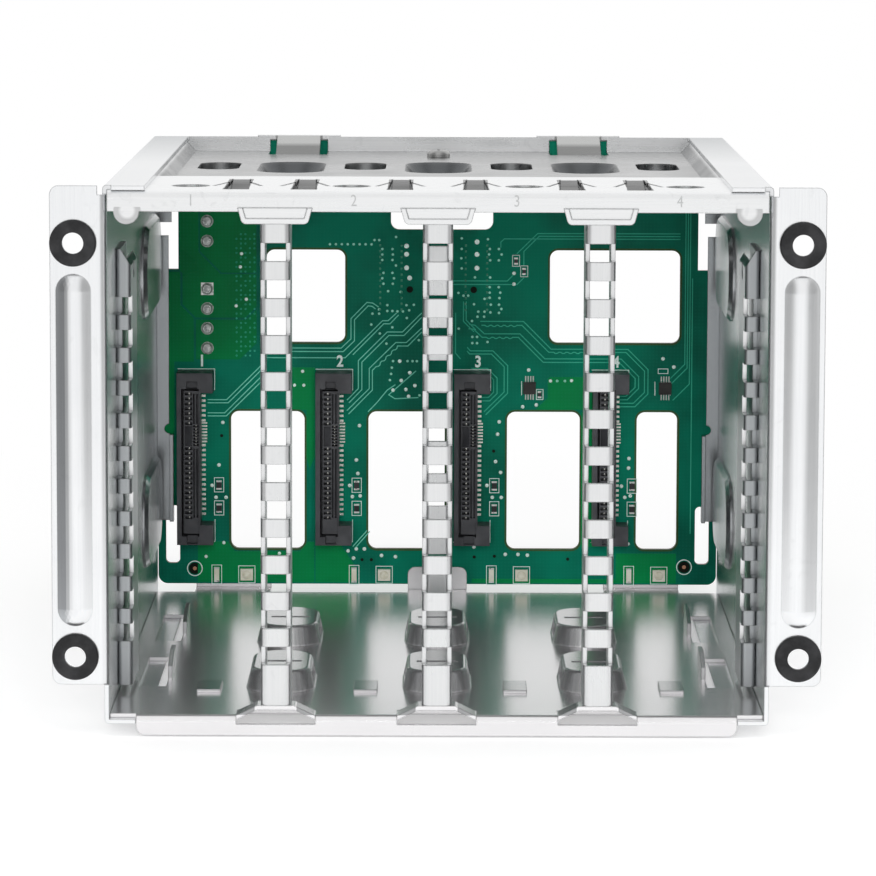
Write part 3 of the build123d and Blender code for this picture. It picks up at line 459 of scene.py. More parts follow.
# -----------------------------------------------------------------------------
# Tracks. Etched copper lines under the mask, run in pairs from the data connectors' via fields
# to the drive connectors, each about a quarter of a millimetre wide.
def carried(path, section, closed=False):
    """Carry a section along a path on the board. A point moves sideways by the mitre of its two
    runs, (n1 + n2) / (1 + n1.n2), times the section's offset; the section's height comes forward."""
    path, section = np.asarray(path, float), np.asarray(section, float)
    runs = np.diff(np.vstack((path, path[:1])) if closed else path, axis=0)
    runs /= np.linalg.norm(runs, axis=1)[:, None]
    normal = np.column_stack((-runs[:, 1], runs[:, 0]))
    before = np.roll(normal, 1, axis=0) if closed else np.vstack((normal[:1], normal))
    after = normal if closed else np.vstack((normal, normal[-1:]))
    mitre = (before + after) / (1 + (before * after).sum(axis=1))[:, None]
    flat = path[:, None] + mitre[:, None] * section[None, :, :1]
    rows, columns = flat.shape[:2]
    points = np.empty((rows, columns, 3))
    points[..., 0], points[..., 2] = flat[..., 0] * MM, flat[..., 1] * MM
    points[..., 1] = board_front - section[:, 1] * MM
    row = np.arange(rows if closed else rows - 1)[:, None] * columns
    column = np.arange(columns)[None]
    beside = (column + 1) % columns
    next_row = (row + columns) % (rows * columns)
    quads = np.stack((row + column, row + beside, next_row + beside, next_row + column), axis=-1)
    ends = [] if closed else [list(range(columns)), [(rows - 1) * columns + i for i in range(columns)]]
    return points, quads.reshape(-1, 4).tolist() + ends


def line(path, width, height, closed=False):
    """A printed or etched line: a flat bar carried along a path, its foot sunk in the board."""
    half, foot = width / 2, -0.01
    return carried(path, [(-half, foot), (half, foot), (half, height), (-half, height)], closed)


def wiggle(start, end, swing, count):
    """Points of a length-matching meander from start to end: equal steps, every other one out by the swing."""
    start, end = np.asarray(start, float), np.asarray(end, float)
    share = np.linspace(0, 1, 4 * count + 1)[:, None]
    run = (end - start) / np.linalg.norm(end - start)
    out = np.tile((0.0, swing, swing, 0.0), count)
    return start + (end - start) * share + np.append(out, 0.0)[:, None] * np.array((-run[1], run[0]))


left_tracks = [
    [(-15.2, 14.4), (-16.7, 15.4), (-18.2, 15.6), (-22.3, 11.4), (-22.3, 6.2), (-24.8, 3.8), (-44.4, 3.8)],
    [(-16.0, 13.9), (-16.9, 14.6), (-17.9, 14.7), (-21.4, 11.1), (-21.4, 5.7), (-24.3, 2.9), (-44.4, 2.9)],
    [(-10.6, 12.9), (-12.8, 10.9), (-14.2, 10.9), (-23.8, 1.3), (-44.4, 1.3)],
    [(-10.1, 12.4), (-12.3, 10.1), (-13.9, 10.1), (-21.8, 2.1)],
    [(-4.2, 12.9), (-9.1, 8.0), (-13.0, 8.0), (-20.4, 0.6), (-20.4, -6.6), (-23.3, -9.6)],
    [(-4.2, 11.8), (-8.7, 7.1), (-12.6, 7.1), (-19.5, 0.2), (-19.5, -6.9), (-22.8, -10.3)],
    [(-4.2, 9.0), (-8.1, 5.3), (-10.8, 5.3), (-17.6, -1.4), (-17.6, -6.6), (-23.3, -12.3)],
    [(-4.2, 8.0), (-7.7, 4.4), *wiggle((-10.4, 4.4), (-16.2, -1.3), 0.35, 4), (-16.8, -1.9), (-16.8, -7.0),
     (-22.9, -13.2)],
    [(-44.4, 0.2), (-54.2, -9.6), (-59.1, -9.6)],
    [(-44.4, -1.0), (-53.8, -10.4), (-59.1, -10.4)],
    [(-44.4, -2.7), (-54.7, -13.0), (-59.1, -13.0)],
    [(-44.4, -4.0), (-54.3, -13.8), (-59.1, -13.8)],
    [(-10.9, -5.6), (-13.0, -7.0), (-15.6, -10.2), (-17.9, -12.6)],
    [(-5.0, -8.9), (-11.0, -9.2), (-12.6, -8.2), (-5.6, -2.0)],
    [(-18.1, -43.4), (-21.8, -47.6)],
    [(-17.4, -43.6), (-21.3, -48.1)],
]
right_tracks = [
    [(10.8, 10.8), (21.9, 10.8), (29.0, 3.7), (48.7, 3.7), (53.9, -1.5), (53.9, -7.8), (50.6, -11.1), (46.6, -11.1)],
    [(11.1, 9.8), *wiggle((12.0, 9.8), (20.6, 9.8), -0.3, 5), (21.5, 9.8), (28.4, 2.9),
     *wiggle((29.6, 2.9), (37.0, 2.9), -0.3, 4), (48.2, 2.9), (53.0, -1.9), (53.0, -7.4), (50.2, -10.2),
     (46.6, -10.2)],
    [(8.0, 10.0), (9.5, 9.8), (11.9, 7.6), (21.0, 7.6), (27.4, 1.2), (47.0, 1.2), (51.5, -3.3), (51.5, -6.4),
     (48.6, -9.3), (46.6, -9.3)],
    [(7.8, 8.9), (9.1, 8.8), (11.3, 6.7), *wiggle((12.4, 6.7), (19.6, 6.7), -0.3, 4), (20.6, 6.7),
     (27.0, 0.3), (46.5, 0.3), (50.6, -3.8), (50.6, -6.1), (48.3, -8.4), (46.6, -8.4)],
    [(20.1, 28.2), (25.4, 33.4), (61.9, 33.4)],
    [(21.9, 25.1), (21.9, 28.8), (25.8, 32.7), (61.9, 32.7)],
    [(16.0, 29.7), (16.0, 31.2), (16.9, 32.0), (61.9, 32.0)],
    [(3.8, 21.2), (17.7, 21.2), (19.3, 22.8)],
    [(3.8, 20.3), (20.2, 20.3), (22.0, 22.1)],
    [(7.5, 4.1), (8.3, 3.2), (14.1, 3.2), (17.9, -0.6), (17.9, -7.7), (12.3, -13.3)],
    [(7.5, 3.1), (8.1, 2.4), (13.7, 2.4), (17.0, -0.9), (17.0, -7.4), (11.9, -12.5)],
    [(8.5, -1.3), (12.7, -1.3), (15.2, -3.8), (15.2, -7.8), (13.3, -9.7), (11.3, -9.7)],
    [(8.5, -2.2), (12.3, -2.2), (14.3, -4.2), (14.3, -7.5), (13.0, -8.8), (11.2, -8.8)],
    [(63.3, 56.0), (63.3, -0.1), (59.6, -3.8)],
    [(63.9, 56.0), (63.9, -1.1), (59.7, -5.3)],
    [(64.5, 56.0), (64.5, -5.2), (60.3, -9.4)],
    [(65.1, 22.0), (65.1, -44.0)],
    [(4.5, 13.0), (4.5, 2.6), (5.8, 1.1)],
    [(6.5, 15.9), (6.5, 10.8), (9.2, 8.1)],
    [(7.2, 15.9), (7.2, 11.1), (9.7, 8.6)],
]


def window_path(low, high, corner, out):
    """Loop round an opening, out millimetres from its edge: a quarter circle about each corner's centre."""
    quarter = np.linspace(0, math.pi / 2, 7)
    loop = []
    for turns, (x, z) in enumerate(((high[0], high[1]), (low[0], high[1]), (low[0], low[1]), (high[0], low[1]))):
        x -= math.copysign(corner, 2 * x - low[0] - high[0])
        z -= math.copysign(corner, 2 * z - low[1] - high[1])
        swing = quarter + turns * math.pi / 2
        loop.append(np.column_stack((x + (corner + out) * np.cos(swing), z + (corner + out) * np.sin(swing))))
    return np.vstack(loop)


window_play, window_corner, margin_out = 0.1, 2.1, 0.28
margins = []
for opening in frame["record"]["physics"]["openings"]:
    if "air_window" in opening["name"]:
        near, far = np.asarray(opening["box_m"]) / MM
        edge_path = window_path(near[[0, 2]] - window_play, far[[0, 2]] + window_play, window_corner, margin_out)
        margins.append(line(edge_path, 0.5, 0.03, closed=True))
bare_margin = masked_board("bare margin", (0.060, 0.110, 0.040), (0.040, 0.080, 0.030), 0.4)
mesh_piece("routed_margins", margins, bare_margin)

track_width, track_height = 0.24, 0.045
track_green = masked_board("track mask", (0.23, 0.78, 0.60), (0.16, 0.62, 0.46), 0.30)
soft_green = masked_board("soft track mask", (0.06, 0.52, 0.35), (0.04, 0.42, 0.27), 0.30)
mesh_piece("tracks_left", [line(path, track_width, track_height) for path in left_tracks], track_green)
mesh_piece("tracks_right", [line(path, track_width, track_height) for path in right_tracks], soft_green)


# -----------------------------------------------------------------------------
# Vias and test pads. Plated holes and bare solder pads: small tinned rims and domes that catch
# the light, in the fields behind the data sockets and beside each drive connector.
def turned(centres, profile, sides):
    """Revolve a profile of radius and height about an axis through each centre, square to the board."""
    profile = np.asarray(profile, float)
    angle = np.linspace(0, 2 * math.pi, sides, endpoint=False)
    shells = []
    for x, z in centres:
        points = np.empty((len(profile), sides, 3))
        points[..., 0] = (x + np.outer(profile[:, 0], np.cos(angle))) * MM
        points[..., 2] = (z + np.outer(profile[:, 0], np.sin(angle))) * MM
        points[..., 1] = board_front - profile[:, 1:2] * MM
        row = np.arange(len(profile) - 1)[:, None] * sides
        column = np.arange(sides)[None]
        beside = (column + 1) % sides
        quads = np.stack((row + column, row + beside, row + sides + beside, row + sides + column), axis=-1)
        shells.append((points, quads.reshape(-1, 4).tolist()))
    return shells


def dome(radius, height):
    """Profile of a closed solder dome: a quarter wave from its rim to its crown."""
    bend = np.linspace(0, math.pi / 2, 4)
    arc = np.column_stack((radius * np.cos(bend), height * np.sin(bend)))
    return np.vstack(((0, -0.01), (radius, -0.01), arc))


def rim(outer, inner, height):
    """Profile of a flat ring with a sunk centre."""
    return [(0, -0.01), (outer, -0.01), (outer, height), (inner, height), (inner, 0.005), (0, 0.005)]


def disc(radius, height, foot=-0.01):
    """Profile of a flat disc."""
    return [(0, foot), (radius, foot), (radius, height), (0, height)]


via_field = [
    (-16.3, 31.6), (-15.1, 31.6), (-10.8, 32.4), (-14.3, 29.3), (-11.7, 29.3), (-14.3, 27.9), (-11.6, 27.9),
    (-14.3, 26.5), (-11.7, 26.5), (-10.8, 25.1), (-14.0, 23.2), (-11.7, 23.2), (-14.3, 21.8), (-11.3, 21.8),
    (-14.0, 20.4), (-11.6, 20.4), (-12.8, 18.5), (-9.6, 18.3), (-13.0, 14.9), (-8.1, 14.9), (-6.2, 15.0),
    (-15.1, 13.8), (-16.8, 12.7), (-15.1, 12.7), (-13.0, 13.4), (-11.7, 13.4), (-10.4, 13.3), (-9.0, 13.3),
    (-7.4, 13.6), (-17.1, 9.9), (-8.0, 11.6), (-14.9, 7.6), (-11.7, 9.2), (-13.2, 5.0), (-4.9, 5.9), (6.0, 32.1),
    (12.7, 31.9), (6.0, 29.4), (13.2, 29.4), (15.5, 29.4), (13.0, 28.0), (16.2, 28.0), (5.9, 27.0), (13.3, 26.5),
    (15.5, 26.5), (6.0, 24.4), (9.4, 22.1), (13.3, 22.1), (5.2, 18.1), (6.5, 17.4), (7.7, 17.4), (13.2, 19.6),
    (15.5, 19.6), (13.2, 18.2), (15.9, 18.2), (11.9, 16.6), (13.2, 16.9), (15.7, 16.8), (9.2, 15.2), (13.5, 15.1),
    (15.6, 15.1), (16.2, 14.0), (10.3, 13.3), (11.9, 13.3), (13.4, 13.1), (15.6, 13.0), (10.1, 12.0),
    (11.8, 12.0), (8.7, 10.9), (8.8, 6.8), (10.0, 6.8), (8.8, 5.2), (10.0, 5.2), (12.7, 5.5), (5.3, 8.9),
    (30.6, -4.5), (32.6, -4.5), (-11.8, -1.2), (-11.5, 0.5), (-7.8, 0.5), (-6.5, 0.5), (-5.4, 0.5), (-12.0, -2.8),
    (-12.3, -4.4), (-4.7, -8.3),
    *[(-27.7 + 1.52 * k, 30.5) for k in range(8)],
]
# The supply vias stand on a grid, with some left out unevenly.
grid_x, grid_z = np.meshgrid(-51.6 + 1.15 * np.arange(5), 33.0 - 1.2 * np.arange(27))
grid_keep = np.sin(grid_x * 3.7 + grid_z * 1.9) > -0.55
supply_vias = np.column_stack((grid_x[grid_keep], grid_z[grid_keep])).tolist()


def speckled(name, light, dark, scale, rough, detail=2.0, contrast=(0.0, 1.0), **constants):
    """Two colours in one fine cloud, which also moves the roughness between two values."""
    material, tree, surface = new_material(name, **constants)
    cloud = noise(on_piece(tree), scale, detail)
    feed(surface, Base_Color=blend_colours(spread(cloud, *contrast), dark, light),
         Roughness=spread(cloud, 0.3, 0.7, *rough))
    return material


def soldered(name, light, dark, metallic):
    """Solder or tin with the cloudy grain of cooled metal."""
    return speckled(name, light, dark, 900.0, (0.22, 0.42), detail=3.0, contrast=(0.35, 0.65),
                    Metallic=metallic, Specular_IOR_Level=0.6)


solder = soldered("bright solder", (0.80, 0.81, 0.79), (0.54, 0.56, 0.54), 0.7)
pad_tin = soldered("bright pad", (0.86, 0.99, 0.94), (0.74, 0.92, 0.85), 0.35)
pin_tin = soldered("pin tin", (0.46, 0.62, 0.53), (0.30, 0.44, 0.37), 0.6)
via_green = masked_board("tented via mask", (0.42, 0.88, 0.74), (0.30, 0.70, 0.56), 0.3)
signal_rim, supply_rim = rim(0.33, 0.15, 0.05), rim(0.26, 0.12, 0.05)
mesh_piece("signal_vias", turned(via_field, signal_rim, 10), via_green)
mesh_piece("supply_vias", turned(supply_vias, supply_rim, 8), soft_green)

bright_pads = [
    (28.9, -4.5), (34.3, -4.4), (21.8, -11.2), (25.3, -10.7), (15.8, -15.1), (60.5, -0.8), (-55.2, -15.5),
    (-56.2, -26.5), (-58.0, -31.8), (-57.0, -34.9), (-55.0, -46.7), (-20.1, -16.2), (-22.6, -31.7),
    (-23.0, -48.7), (-20.9, -48.2), (-18.8, -48.2), (-21.6, -50.6), (-34.7, -2.2), (-36.8, -5.8), (-34.4, -5.8),
    (-40.7, -49.4), (-9.8, 0.5), (-9.4, -4.5), (-7.2, -2.5), (-5.9, -5.8), (-11.5, -7.0), (-8.2, -6.8),
    (-7.5, -8.6), (15.4, -18.3), (12.7, -31.6), (9.4, -47.6), (17.5, -49.5), (47.3, -31.7), (49.1, -46.7),
    (20.8, -49.5), (23.2, -49.7), (-49.1, 16.3), (-51.7, 14.6), (-50.3, 28.0), (-50.6, 24.6), (19.4, 23.2),
    (19.4, 20.4), (23.3, -1.7), (57.7, 1.3), (-54.4, -34.9), (-59.6, -50.3), (-20.9, -25.1), (-20.5, -28.6),
    (-21.9, -34.6), (-19.9, -34.4), (-14.4, -49.9), (-10.8, -50.2), (14.9, -25.4), (16.2, -28.2), (14.1, -34.7),
    (16.4, -34.7), (49.2, -24.5), (49.1, -27.0), (48.2, -34.6), (49.6, -34.2),
]
mesh_piece("test_pads", turned(bright_pads, dome(0.48, 0.08), 12), pad_tin)
large_vias = [(-8.1, 30.1), (-8.1, 28.0), (-8.1, 24.5), (-7.3, 21.9), (9.9, 31.2), (9.9, 28.0), (9.9, 24.5)]
mesh_piece("large_vias", turned(large_vias, rim(0.62, 0.2, 0.08), 16), pad_tin)

# Peg holes. Bare drilled holes with a mask clearance: two wide ones for the plastic pegs of the
# data sockets, and narrow ones for those of the smaller parts.
hole_black = speckled("drilled hole", (0.012, 0.014, 0.010), (0.004, 0.006, 0.004), 1500.0, (0.6, 0.8),
                      Specular_IOR_Level=0.2)
wide_holes = [(-7.25, 18.95), (9.1, 18.9)]
narrow_holes = [(14.4, -22.7), (9.5, -50.2), (14.7, -50.0), (33.6, -50.7), (-55.5, -18.9), (-19.4, -51.0),
                (-17.0, -51.0), (-36.8, -50.7)]
peg_holes = turned(wide_holes, disc(0.85, 0.02), 18) + turned(narrow_holes, disc(0.42, 0.03), 12)
mesh_piece("peg_holes", peg_holes, hole_black)

# -----------------------------------------------------------------------------
# Legend. White ink printed on the mask: frames round the small parts, the drive connectors'
# outlines, rings round the two fiducials and plain numbers for the four bays.
bay_middles = (-53.1, -17.7, 17.7, 53.1)


def corners(x0, x1, z0, z1):
    """The four corners of a rectangle on the board."""
    return [(x0, z0), (x1, z0), (x1, z1), (x0, z1)]


def digit_shell(text, x, z, height, width_share, face, rise, bold):
    """A numeral as a closed shell on a face of the given depth: middle at x, foot at z, narrowed by its share."""
    curve = bpy.data.curves.new("numeral", "FONT")
    curve.body, curve.size, curve.align_x, curve.offset, curve.extrude = text, 1.0, "CENTER", bold, 0.5
    holder = bpy.data.objects.new("numeral", curve)
    solid = bpy.data.meshes.new_from_object(holder)
    drawn = np.empty(len(solid.vertices) * 3)
    solid.vertices.foreach_get("co", drawn)
    drawn = drawn.reshape(-1, 3)
    scale = height / drawn[:, 1].max()
    points = np.empty((len(drawn), 3))
    points[:, 0] = (x + drawn[:, 0] * scale * width_share) * MM
    points[:, 1] = face - (drawn[:, 2] + 0.4) * rise * MM
    points[:, 2] = (z + drawn[:, 1] * scale) * MM
    bpy.data.objects.remove(holder)
    return points, [list(polygon.vertices) for polygon in solid.polygons]


def bay_digits(shift, **form):
    """The digits 1 to 4, each shifted sideways from the middle of its bay."""
    return [digit_shell(str(number), middle + shift, **form) for number, middle in enumerate(bay_middles, start=1)]


ink = speckled("white ink", (0.86, 0.99, 0.95), (0.70, 0.86, 0.81), 2200.0, (0.5, 0.7), contrast=(0.35, 0.6),
               Specular_IOR_Level=0.4)
ink_height, frame_width = 0.05, 0.17
resistor_rows = (-31.65, -37.65)
small_frames, legend_runs = [], []
for middle in bay_middles:
    small_frames += [corners(middle - 4.3, middle - 1.9, row - 1.85, row + 1.85) for row in resistor_rows]
    small_frames.append(corners(middle - 5.0, middle - 2.5, -57.4, -52.5))
    small_frames.append(corners(middle + 1.9, middle + 6.1, -57.1, -52.7))
    right, left = middle - 4.15, middle - 13.65
    legend_runs.append([(left, -1.65), (right, -1.65), (right, -7.1)])
    legend_runs.append([(right, -40.6), (right, -46.35), (left, -46.35)])
small_frames += [corners(19.0, 20.8, 25.0, 27.8), corners(21.1, 22.9, 22.3, 25.1),
                 corners(25.3, 27.0, -9.3, -6.7), corners(56.5, 59.0, -2.5, -1.3)]
fiducials, ring_radius = [(-62.5, -53.4), (63.6, -52.7)], 1.9
circle = np.linspace(0, 2 * math.pi, 32, endpoint=False)
rings = [np.column_stack((x + ring_radius * np.cos(circle), z + ring_radius * np.sin(circle))) for x, z in fiducials]
legend = [line(path, frame_width, ink_height, closed=True) for path in small_frames]
legend += [line(path, 0.16, ink_height) for path in legend_runs]
legend += [line(path, 0.24, ink_height, closed=True) for path in rings]
legend += [line([(x, -4.6), (x, -8.2)], frame_width, ink_height) for x in (21.5, 55.7, 59.6)]
legend += bay_digits(-7.4, z=-0.9, height=2.9, width_share=0.85, face=board_front, rise=0.06, bold=0.03)
mesh_piece("legend", legend, ink)

# Bay numbers. Plain digits stamped lightly into the zinc of the front lip, one above each bay,
# a shade darker than the sheet.
stamp_zinc = zinc_sheet("stamped zinc", (50, 2400, 2400), (0.70, 0.71, 0.71), (0.62, 0.63, 0.63), 0.35, 0.1, edge=0.2)
stamps = bay_digits(-0.6, z=53.7, height=2.5, width_share=0.8, face=0.0, rise=0.02, bold=0.0)
mesh_piece("bay_numbers", stamps, stamp_zinc)

# Fiducials. Bare copper dots, each on a dark ground free of mask, by which the machine that
# places the parts finds the board.
fiducial_copper = speckled("fiducial copper", (0.72, 0.42, 0.27), (0.50, 0.24, 0.14), 1300.0, (0.3, 0.5),
                           Metallic=1.0)
mesh_piece("fiducial_grounds", turned(fiducials, disc(1.5, 0.02), 32), hole_black)
mesh_piece("fiducial_dots", turned(fiducials, disc(0.5, 0.05, foot=0.0), 20), fiducial_copper)

# -----------------------------------------------------------------------------
# Power headers and pins. Cream nylon box headers on the rear face; their tinned pins come
# through the board and end in round solder joints, the first of the lower four on a square pad.
nylon = speckled("header nylon", (0.72, 0.69, 0.60), (0.60, 0.56, 0.47), 500.0, (0.38, 0.5), detail=3.0,
                 Specular_IOR_Level=0.45, Subsurface_Weight=0.05)
dress(nylon, "power_header_upper", "power_header_lower")
dress(solder, "power_pins_upper", "power_pins_lower")
repaint(pin_tin, under(along(pin_tin)[1], board_front + 0.5 * MM), (0.12, 0.48, 0.36))
dress(pin_tin, "data_pins_left", "data_pins_right")
pin_x, pin_pitch, header_middles = -59.1, 5.08, (38.85, 11.35)
joints = [(pin_x, middle + pin_pitch * (1.5 - k)) for middle in header_middles for k in range(4)]
joint_profile = np.vstack(((0, -0.01), (1.62, -0.01), (1.62, 0.06), (1.52, 0.12), dome(1.45, 1.35)[2:] + (0, 0.12)))
mesh_piece("solder_joints", turned(joints, joint_profile, 24), solder)
first_z, pad_half = joints[4][1], 1.6
pad = corners(pin_x - pad_half, pin_x + pad_half, first_z - pad_half, first_z + pad_half)
mesh_piece("square_pad", [plate(pad, 0.09)], solder)

# -----------------------------------------------------------------------------
# Data sockets. Shielded sockets on the rear face, one beside the other: plated shells, pressed
# onto the board with their pins.
shell_zinc = zinc_sheet("socket plating", (900, 900, 900), (0.70, 0.70, 0.69), (0.50, 0.50, 0.50), 0.28, 0.2)
dress(shell_zinc, "data_socket_left", "data_socket_right")


# -----------------------------------------------------------------------------
# Rear face of the board. The same masked copper as in front: via ends, the pairs' second layer,
# supply areas that join the power headers to the connectors, and printed frames.
def to_rear(shells):
    """Shells carried to the board's other face: each depth mirrored about the middle of the board."""
    return [(np.asarray(points) * (1, -1, 1) + (0, board_front + board_back, 0), faces) for points, faces in shells]


def clear_of(places, names):
    """Those places that lie outside the named nodes, seen from the rear."""
    boxes = [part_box(name) for name in names]
    return [(x, z) for x, z in places
            if not any(low.x < x * MM < high.x and low.z < z * MM < high.z for low, high in boxes)]


rear_parts = ("power_header_upper", "power_header_lower", "data_socket_left", "data_socket_right")
mesh_piece("rear_vias", to_rear(turned(clear_of(via_field, rear_parts), signal_rim, 10)), via_green)
mesh_piece("rear_supply_vias", to_rear(turned(clear_of(supply_vias, rear_parts), supply_rim, 8)), soft_green)
rear_pads = clear_of(bright_pads[::3], rear_parts)
mesh_piece("rear_pads", to_rear(turned(rear_pads, dome(0.55, 0.1), 12)), pad_tin)
rear_areas = [
    [(-52.0, 50.0), (-22.0, 50.0), (-22.0, 32.0), (-46.0, 32.0), (-46.0, 3.0), (-52.0, 3.0)],
    [(-68.5, -1.0), (-46.0, -1.0), (-46.0, -11.0), (-55.0, -11.0), (-55.0, -50.0), (-62.5, -50.0),
     (-62.5, -24.0), (-68.5, -24.0)],
    corners(-32.0, -20.0, -50.5, -12.0),
    corners(4.0, 15.5, -50.5, -12.0),
    corners(38.5, 49.0, -50.5, -12.0),
    corners(20.0, 63.0, 34.5, 50.0),
]
mesh_piece("rear_pours", to_rear([plate(outline, pour_height) for outline in rear_areas]), pour_mask)
rear_runs = left_tracks[:4] + left_tracks[8:12] + right_tracks[:6] + right_tracks[13:16]
rear_runs += [[(x, -10.5), (x, -49.0), (x + 2.2, -51.2), (x + 9.0, -51.2)]
              for x in (-31.0, -30.3, 5.0, 5.7, 39.5, 40.2)]
mesh_piece("rear_tracks", to_rear([line(path, track_width, track_height) for path in rear_runs]), soft_green)
rear_legend, frame_gap = [], 0.7
for name in rear_parts:
    low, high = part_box(name)
    left, right, bottom, top = low.x / MM, high.x / MM, low.z / MM, high.z / MM
    frame_round = corners(left - frame_gap, right + frame_gap, bottom - frame_gap, top + frame_gap)
    rear_legend.append(line(frame_round, 0.22, ink_height, closed=True))
    rear_legend += turned([(left - 1.9, top - 1.2)], disc(0.5, ink_height), 16)
mesh_piece("rear_legend", to_rear(rear_legend), ink)


# -----------------------------------------------------------------------------
# Drive connectors. Black glass filled plastic receptacles, soldered to the front of the board,
# with a key in the slot and a comb that guards each contact.
def moulded(name, light, dark, roughness, grain):
    """Moulded plastic with a fine spark-eroded grain."""
    material, tree, surface = new_material(name, Specular_IOR_Level=0.45)
    place = on_piece(tree)
    fine, broad = noise(place, grain, 3.0), noise(place, grain / 9)
    edge = shade(tree, "ShaderNodeBevel", {"Radius": 0.15 * MM}, samples=4).outputs[0]
    feed(surface, Base_Color=blend_colours(spread(broad, 0.35, 0.65), dark, light),
         Roughness=spread(fine, 0.3, 0.7, roughness - 0.06, roughness + 0.08),
         Normal=bump(0.5, 0.00001, fine, Normal=edge))
    return material


connector_black = moulded("connector plastic", (0.085, 0.087, 0.094), (0.055, 0.056, 0.062), 0.42, 1800.0)
dress(connector_black, *[f"drive_connector_{bay}" for bay in range(1, 5)])
gold = speckled("contact plating", (0.86, 0.85, 0.80), (0.66, 0.66, 0.60), 1600.0, (0.22, 0.36), Metallic=1.0)
dress(gold, *[f"drive_contacts_{bay}" for bay in range(1, 5)])

# -----------------------------------------------------------------------------
# Small parts on the board. Moulded chips with tinned legs, chip resistors with tinned ends, and
# two kinds of surface mounted light in each bay.
chip_black = moulded("chip plastic", (0.040, 0.038, 0.036), (0.022, 0.021, 0.020), 0.48, 2600.0)
chip_low, chip_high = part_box("bus_chips")
chip_half = 1.56 * MM
chip_away = reckon("ABSOLUTE", reckon("SUBTRACT", along(chip_black)[2], (chip_low.z + chip_high.z) / 2))
chip_leg = over(chip_away, chip_half)
repaint(chip_black, chip_leg, (0.78, 0.79, 0.76), "MIX")
feed(chip_black.node_tree.nodes["Principled BSDF"], Metallic=reckon("MULTIPLY", chip_leg, 0.7))
dress(chip_black, "bus_chips")

# Chip resistors. Black fired film between tinned end caps, which wrap over both ends and are
# soldered to the board.
fired = moulded("fired film", (0.030, 0.030, 0.032), (0.012, 0.012, 0.013), 0.35, 2600.0)
dress(fired, "chip_resistors")


def end_caps(x, z, width, height, depth):
    """Two tinned caps over the ends of one small part, a little proud of it on every side."""
    proud, cap = 0.03, 0.42
    half, reach = width / 2 + proud, height / 2 + proud
    return [plate(corners(x - half, x + half, low, low + cap), depth + proud) for low in (z - reach, z + reach - cap)]


caps = []
for middle in bay_middles:
    for row in resistor_rows:
        caps += end_caps(middle - 3.1, row, 1.3, 2.3, 0.6)
for x, z in ((19.9, 26.35), (22.0, 23.7), (26.1, -8.0)):
    caps += end_caps(x, z, 0.9, 1.7, 0.5)
mesh_piece("resistor_caps", caps, solder)

# Status lights. Cream resin on white carriers, soldered at both ends: a tall one and a square
# one with a clear dome in each bay.
lens = moulded("light resin", (0.86, 0.84, 0.74), (0.72, 0.69, 0.57), 0.28, 1500.0)
dress(lens, "activity_lights", "fault_lights")
light_row = -54.9
light_caps = [cap for middle in bay_middles for cap in end_caps(middle - 3.75, light_row, 1.3, 3.8, 0.9)]
mesh_piece("light_caps", light_caps, solder)
dome_resin = speckled("dome resin", (0.93, 0.92, 0.82), (0.60, 0.56, 0.38), 1300.0, (0.12, 0.22),
                      Specular_IOR_Level=0.6, Coat_Weight=0.5, Coat_Roughness=0.06)
dome_profile = dome(1.15, 0.45) + (0, 0.88)
light_domes = [(middle + 4.0, light_row) for middle in bay_middles]
mesh_piece("light_domes", turned(light_domes, dome_profile, 24), dome_resin)

# -----------------------------------------------------------------------------
# Studio. A plain pale floor that whitens away from the cage, a white surround with two dark
# cards that only metal shows, and four soft lamps: over the cage, at both sides and in front.
base, reach = cad_box[0][2] - 0.0004, 14.0
ground_mesh = bpy.data.meshes.new("ground")
ground_corners = [(-reach, -reach, base), (reach, -reach, base), (reach, reach, base), (-reach, reach, base)]
ground_mesh.from_pydata(ground_corners, [], [(0, 1, 2, 3)])
ground = bpy.data.objects.new("ground", ground_mesh)
bpy.context.scene.collection.objects.link(ground)


def looking(tree):
    """1 for the rays that show the background: camera, mirror and glass rays."""
    path = shade(tree, "ShaderNodeLightPath").outputs
    seen = reckon("MAXIMUM", path["Is Camera Ray"], path["Is Glossy Ray"])
    return reckon("MAXIMUM", seen, path["Is Transmission Ray"])


def cards(side, depth):
    """How much two dark cards in front, one at each side, take from what metal shows of the studio."""
    left, right = spread(side, -0.32, -0.6, 0.0, 0.56), spread(side, 0.32, 0.6, 0.0, 0.50)
    return both(spread(depth, 0.1, -0.3), reckon("ADD", left, right))


def white_glow(tree, strength):
    """White emission of a given strength."""
    return shade(tree, "ShaderNodeEmission", {"Color": (1, 1, 1, 1), "Strength": strength}).outputs[0]


paper = bpy.data.materials.new("pale floor")
paper.use_nodes = True
paper_tree = paper.node_tree
paper_tree.nodes.clear()
paper_spots = {0: on_piece(paper_tree), 1: (0.0, 0.09, base)}
paper_away = shade(paper_tree, "ShaderNodeVectorMath", paper_spots, operation="DISTANCE").outputs["Value"]
paper_way = shade(paper_tree, "ShaderNodeVectorMath", paper_spots, operation="SUBTRACT").outputs[0]
paper_way = shade(paper_tree, "ShaderNodeVectorMath", {0: paper_way}, operation="NORMALIZE").outputs[0]
paper_side, paper_depth, _ = axes(paper_way)
mirrored = shade(paper_tree, "ShaderNodeLightPath").outputs["Is Glossy Ray"]
paper_cards = both(cards(paper_side, paper_depth), mirrored)
paper_matt = shade(paper_tree, "ShaderNodeBsdfDiffuse", {"Color": (0.86, 0.86, 0.86, 1)}).outputs[0]
paper_near = shade(paper_tree, "ShaderNodeAddShader", {0: paper_matt, 1: white_glow(paper_tree, 0.30)}).outputs[0]
paper_far = white_glow(paper_tree, reckon("SUBTRACT", 1.0, paper_cards))
paper_fade = {0: spread(paper_away, 0.14, 0.42), 1: paper_near, 2: paper_far}
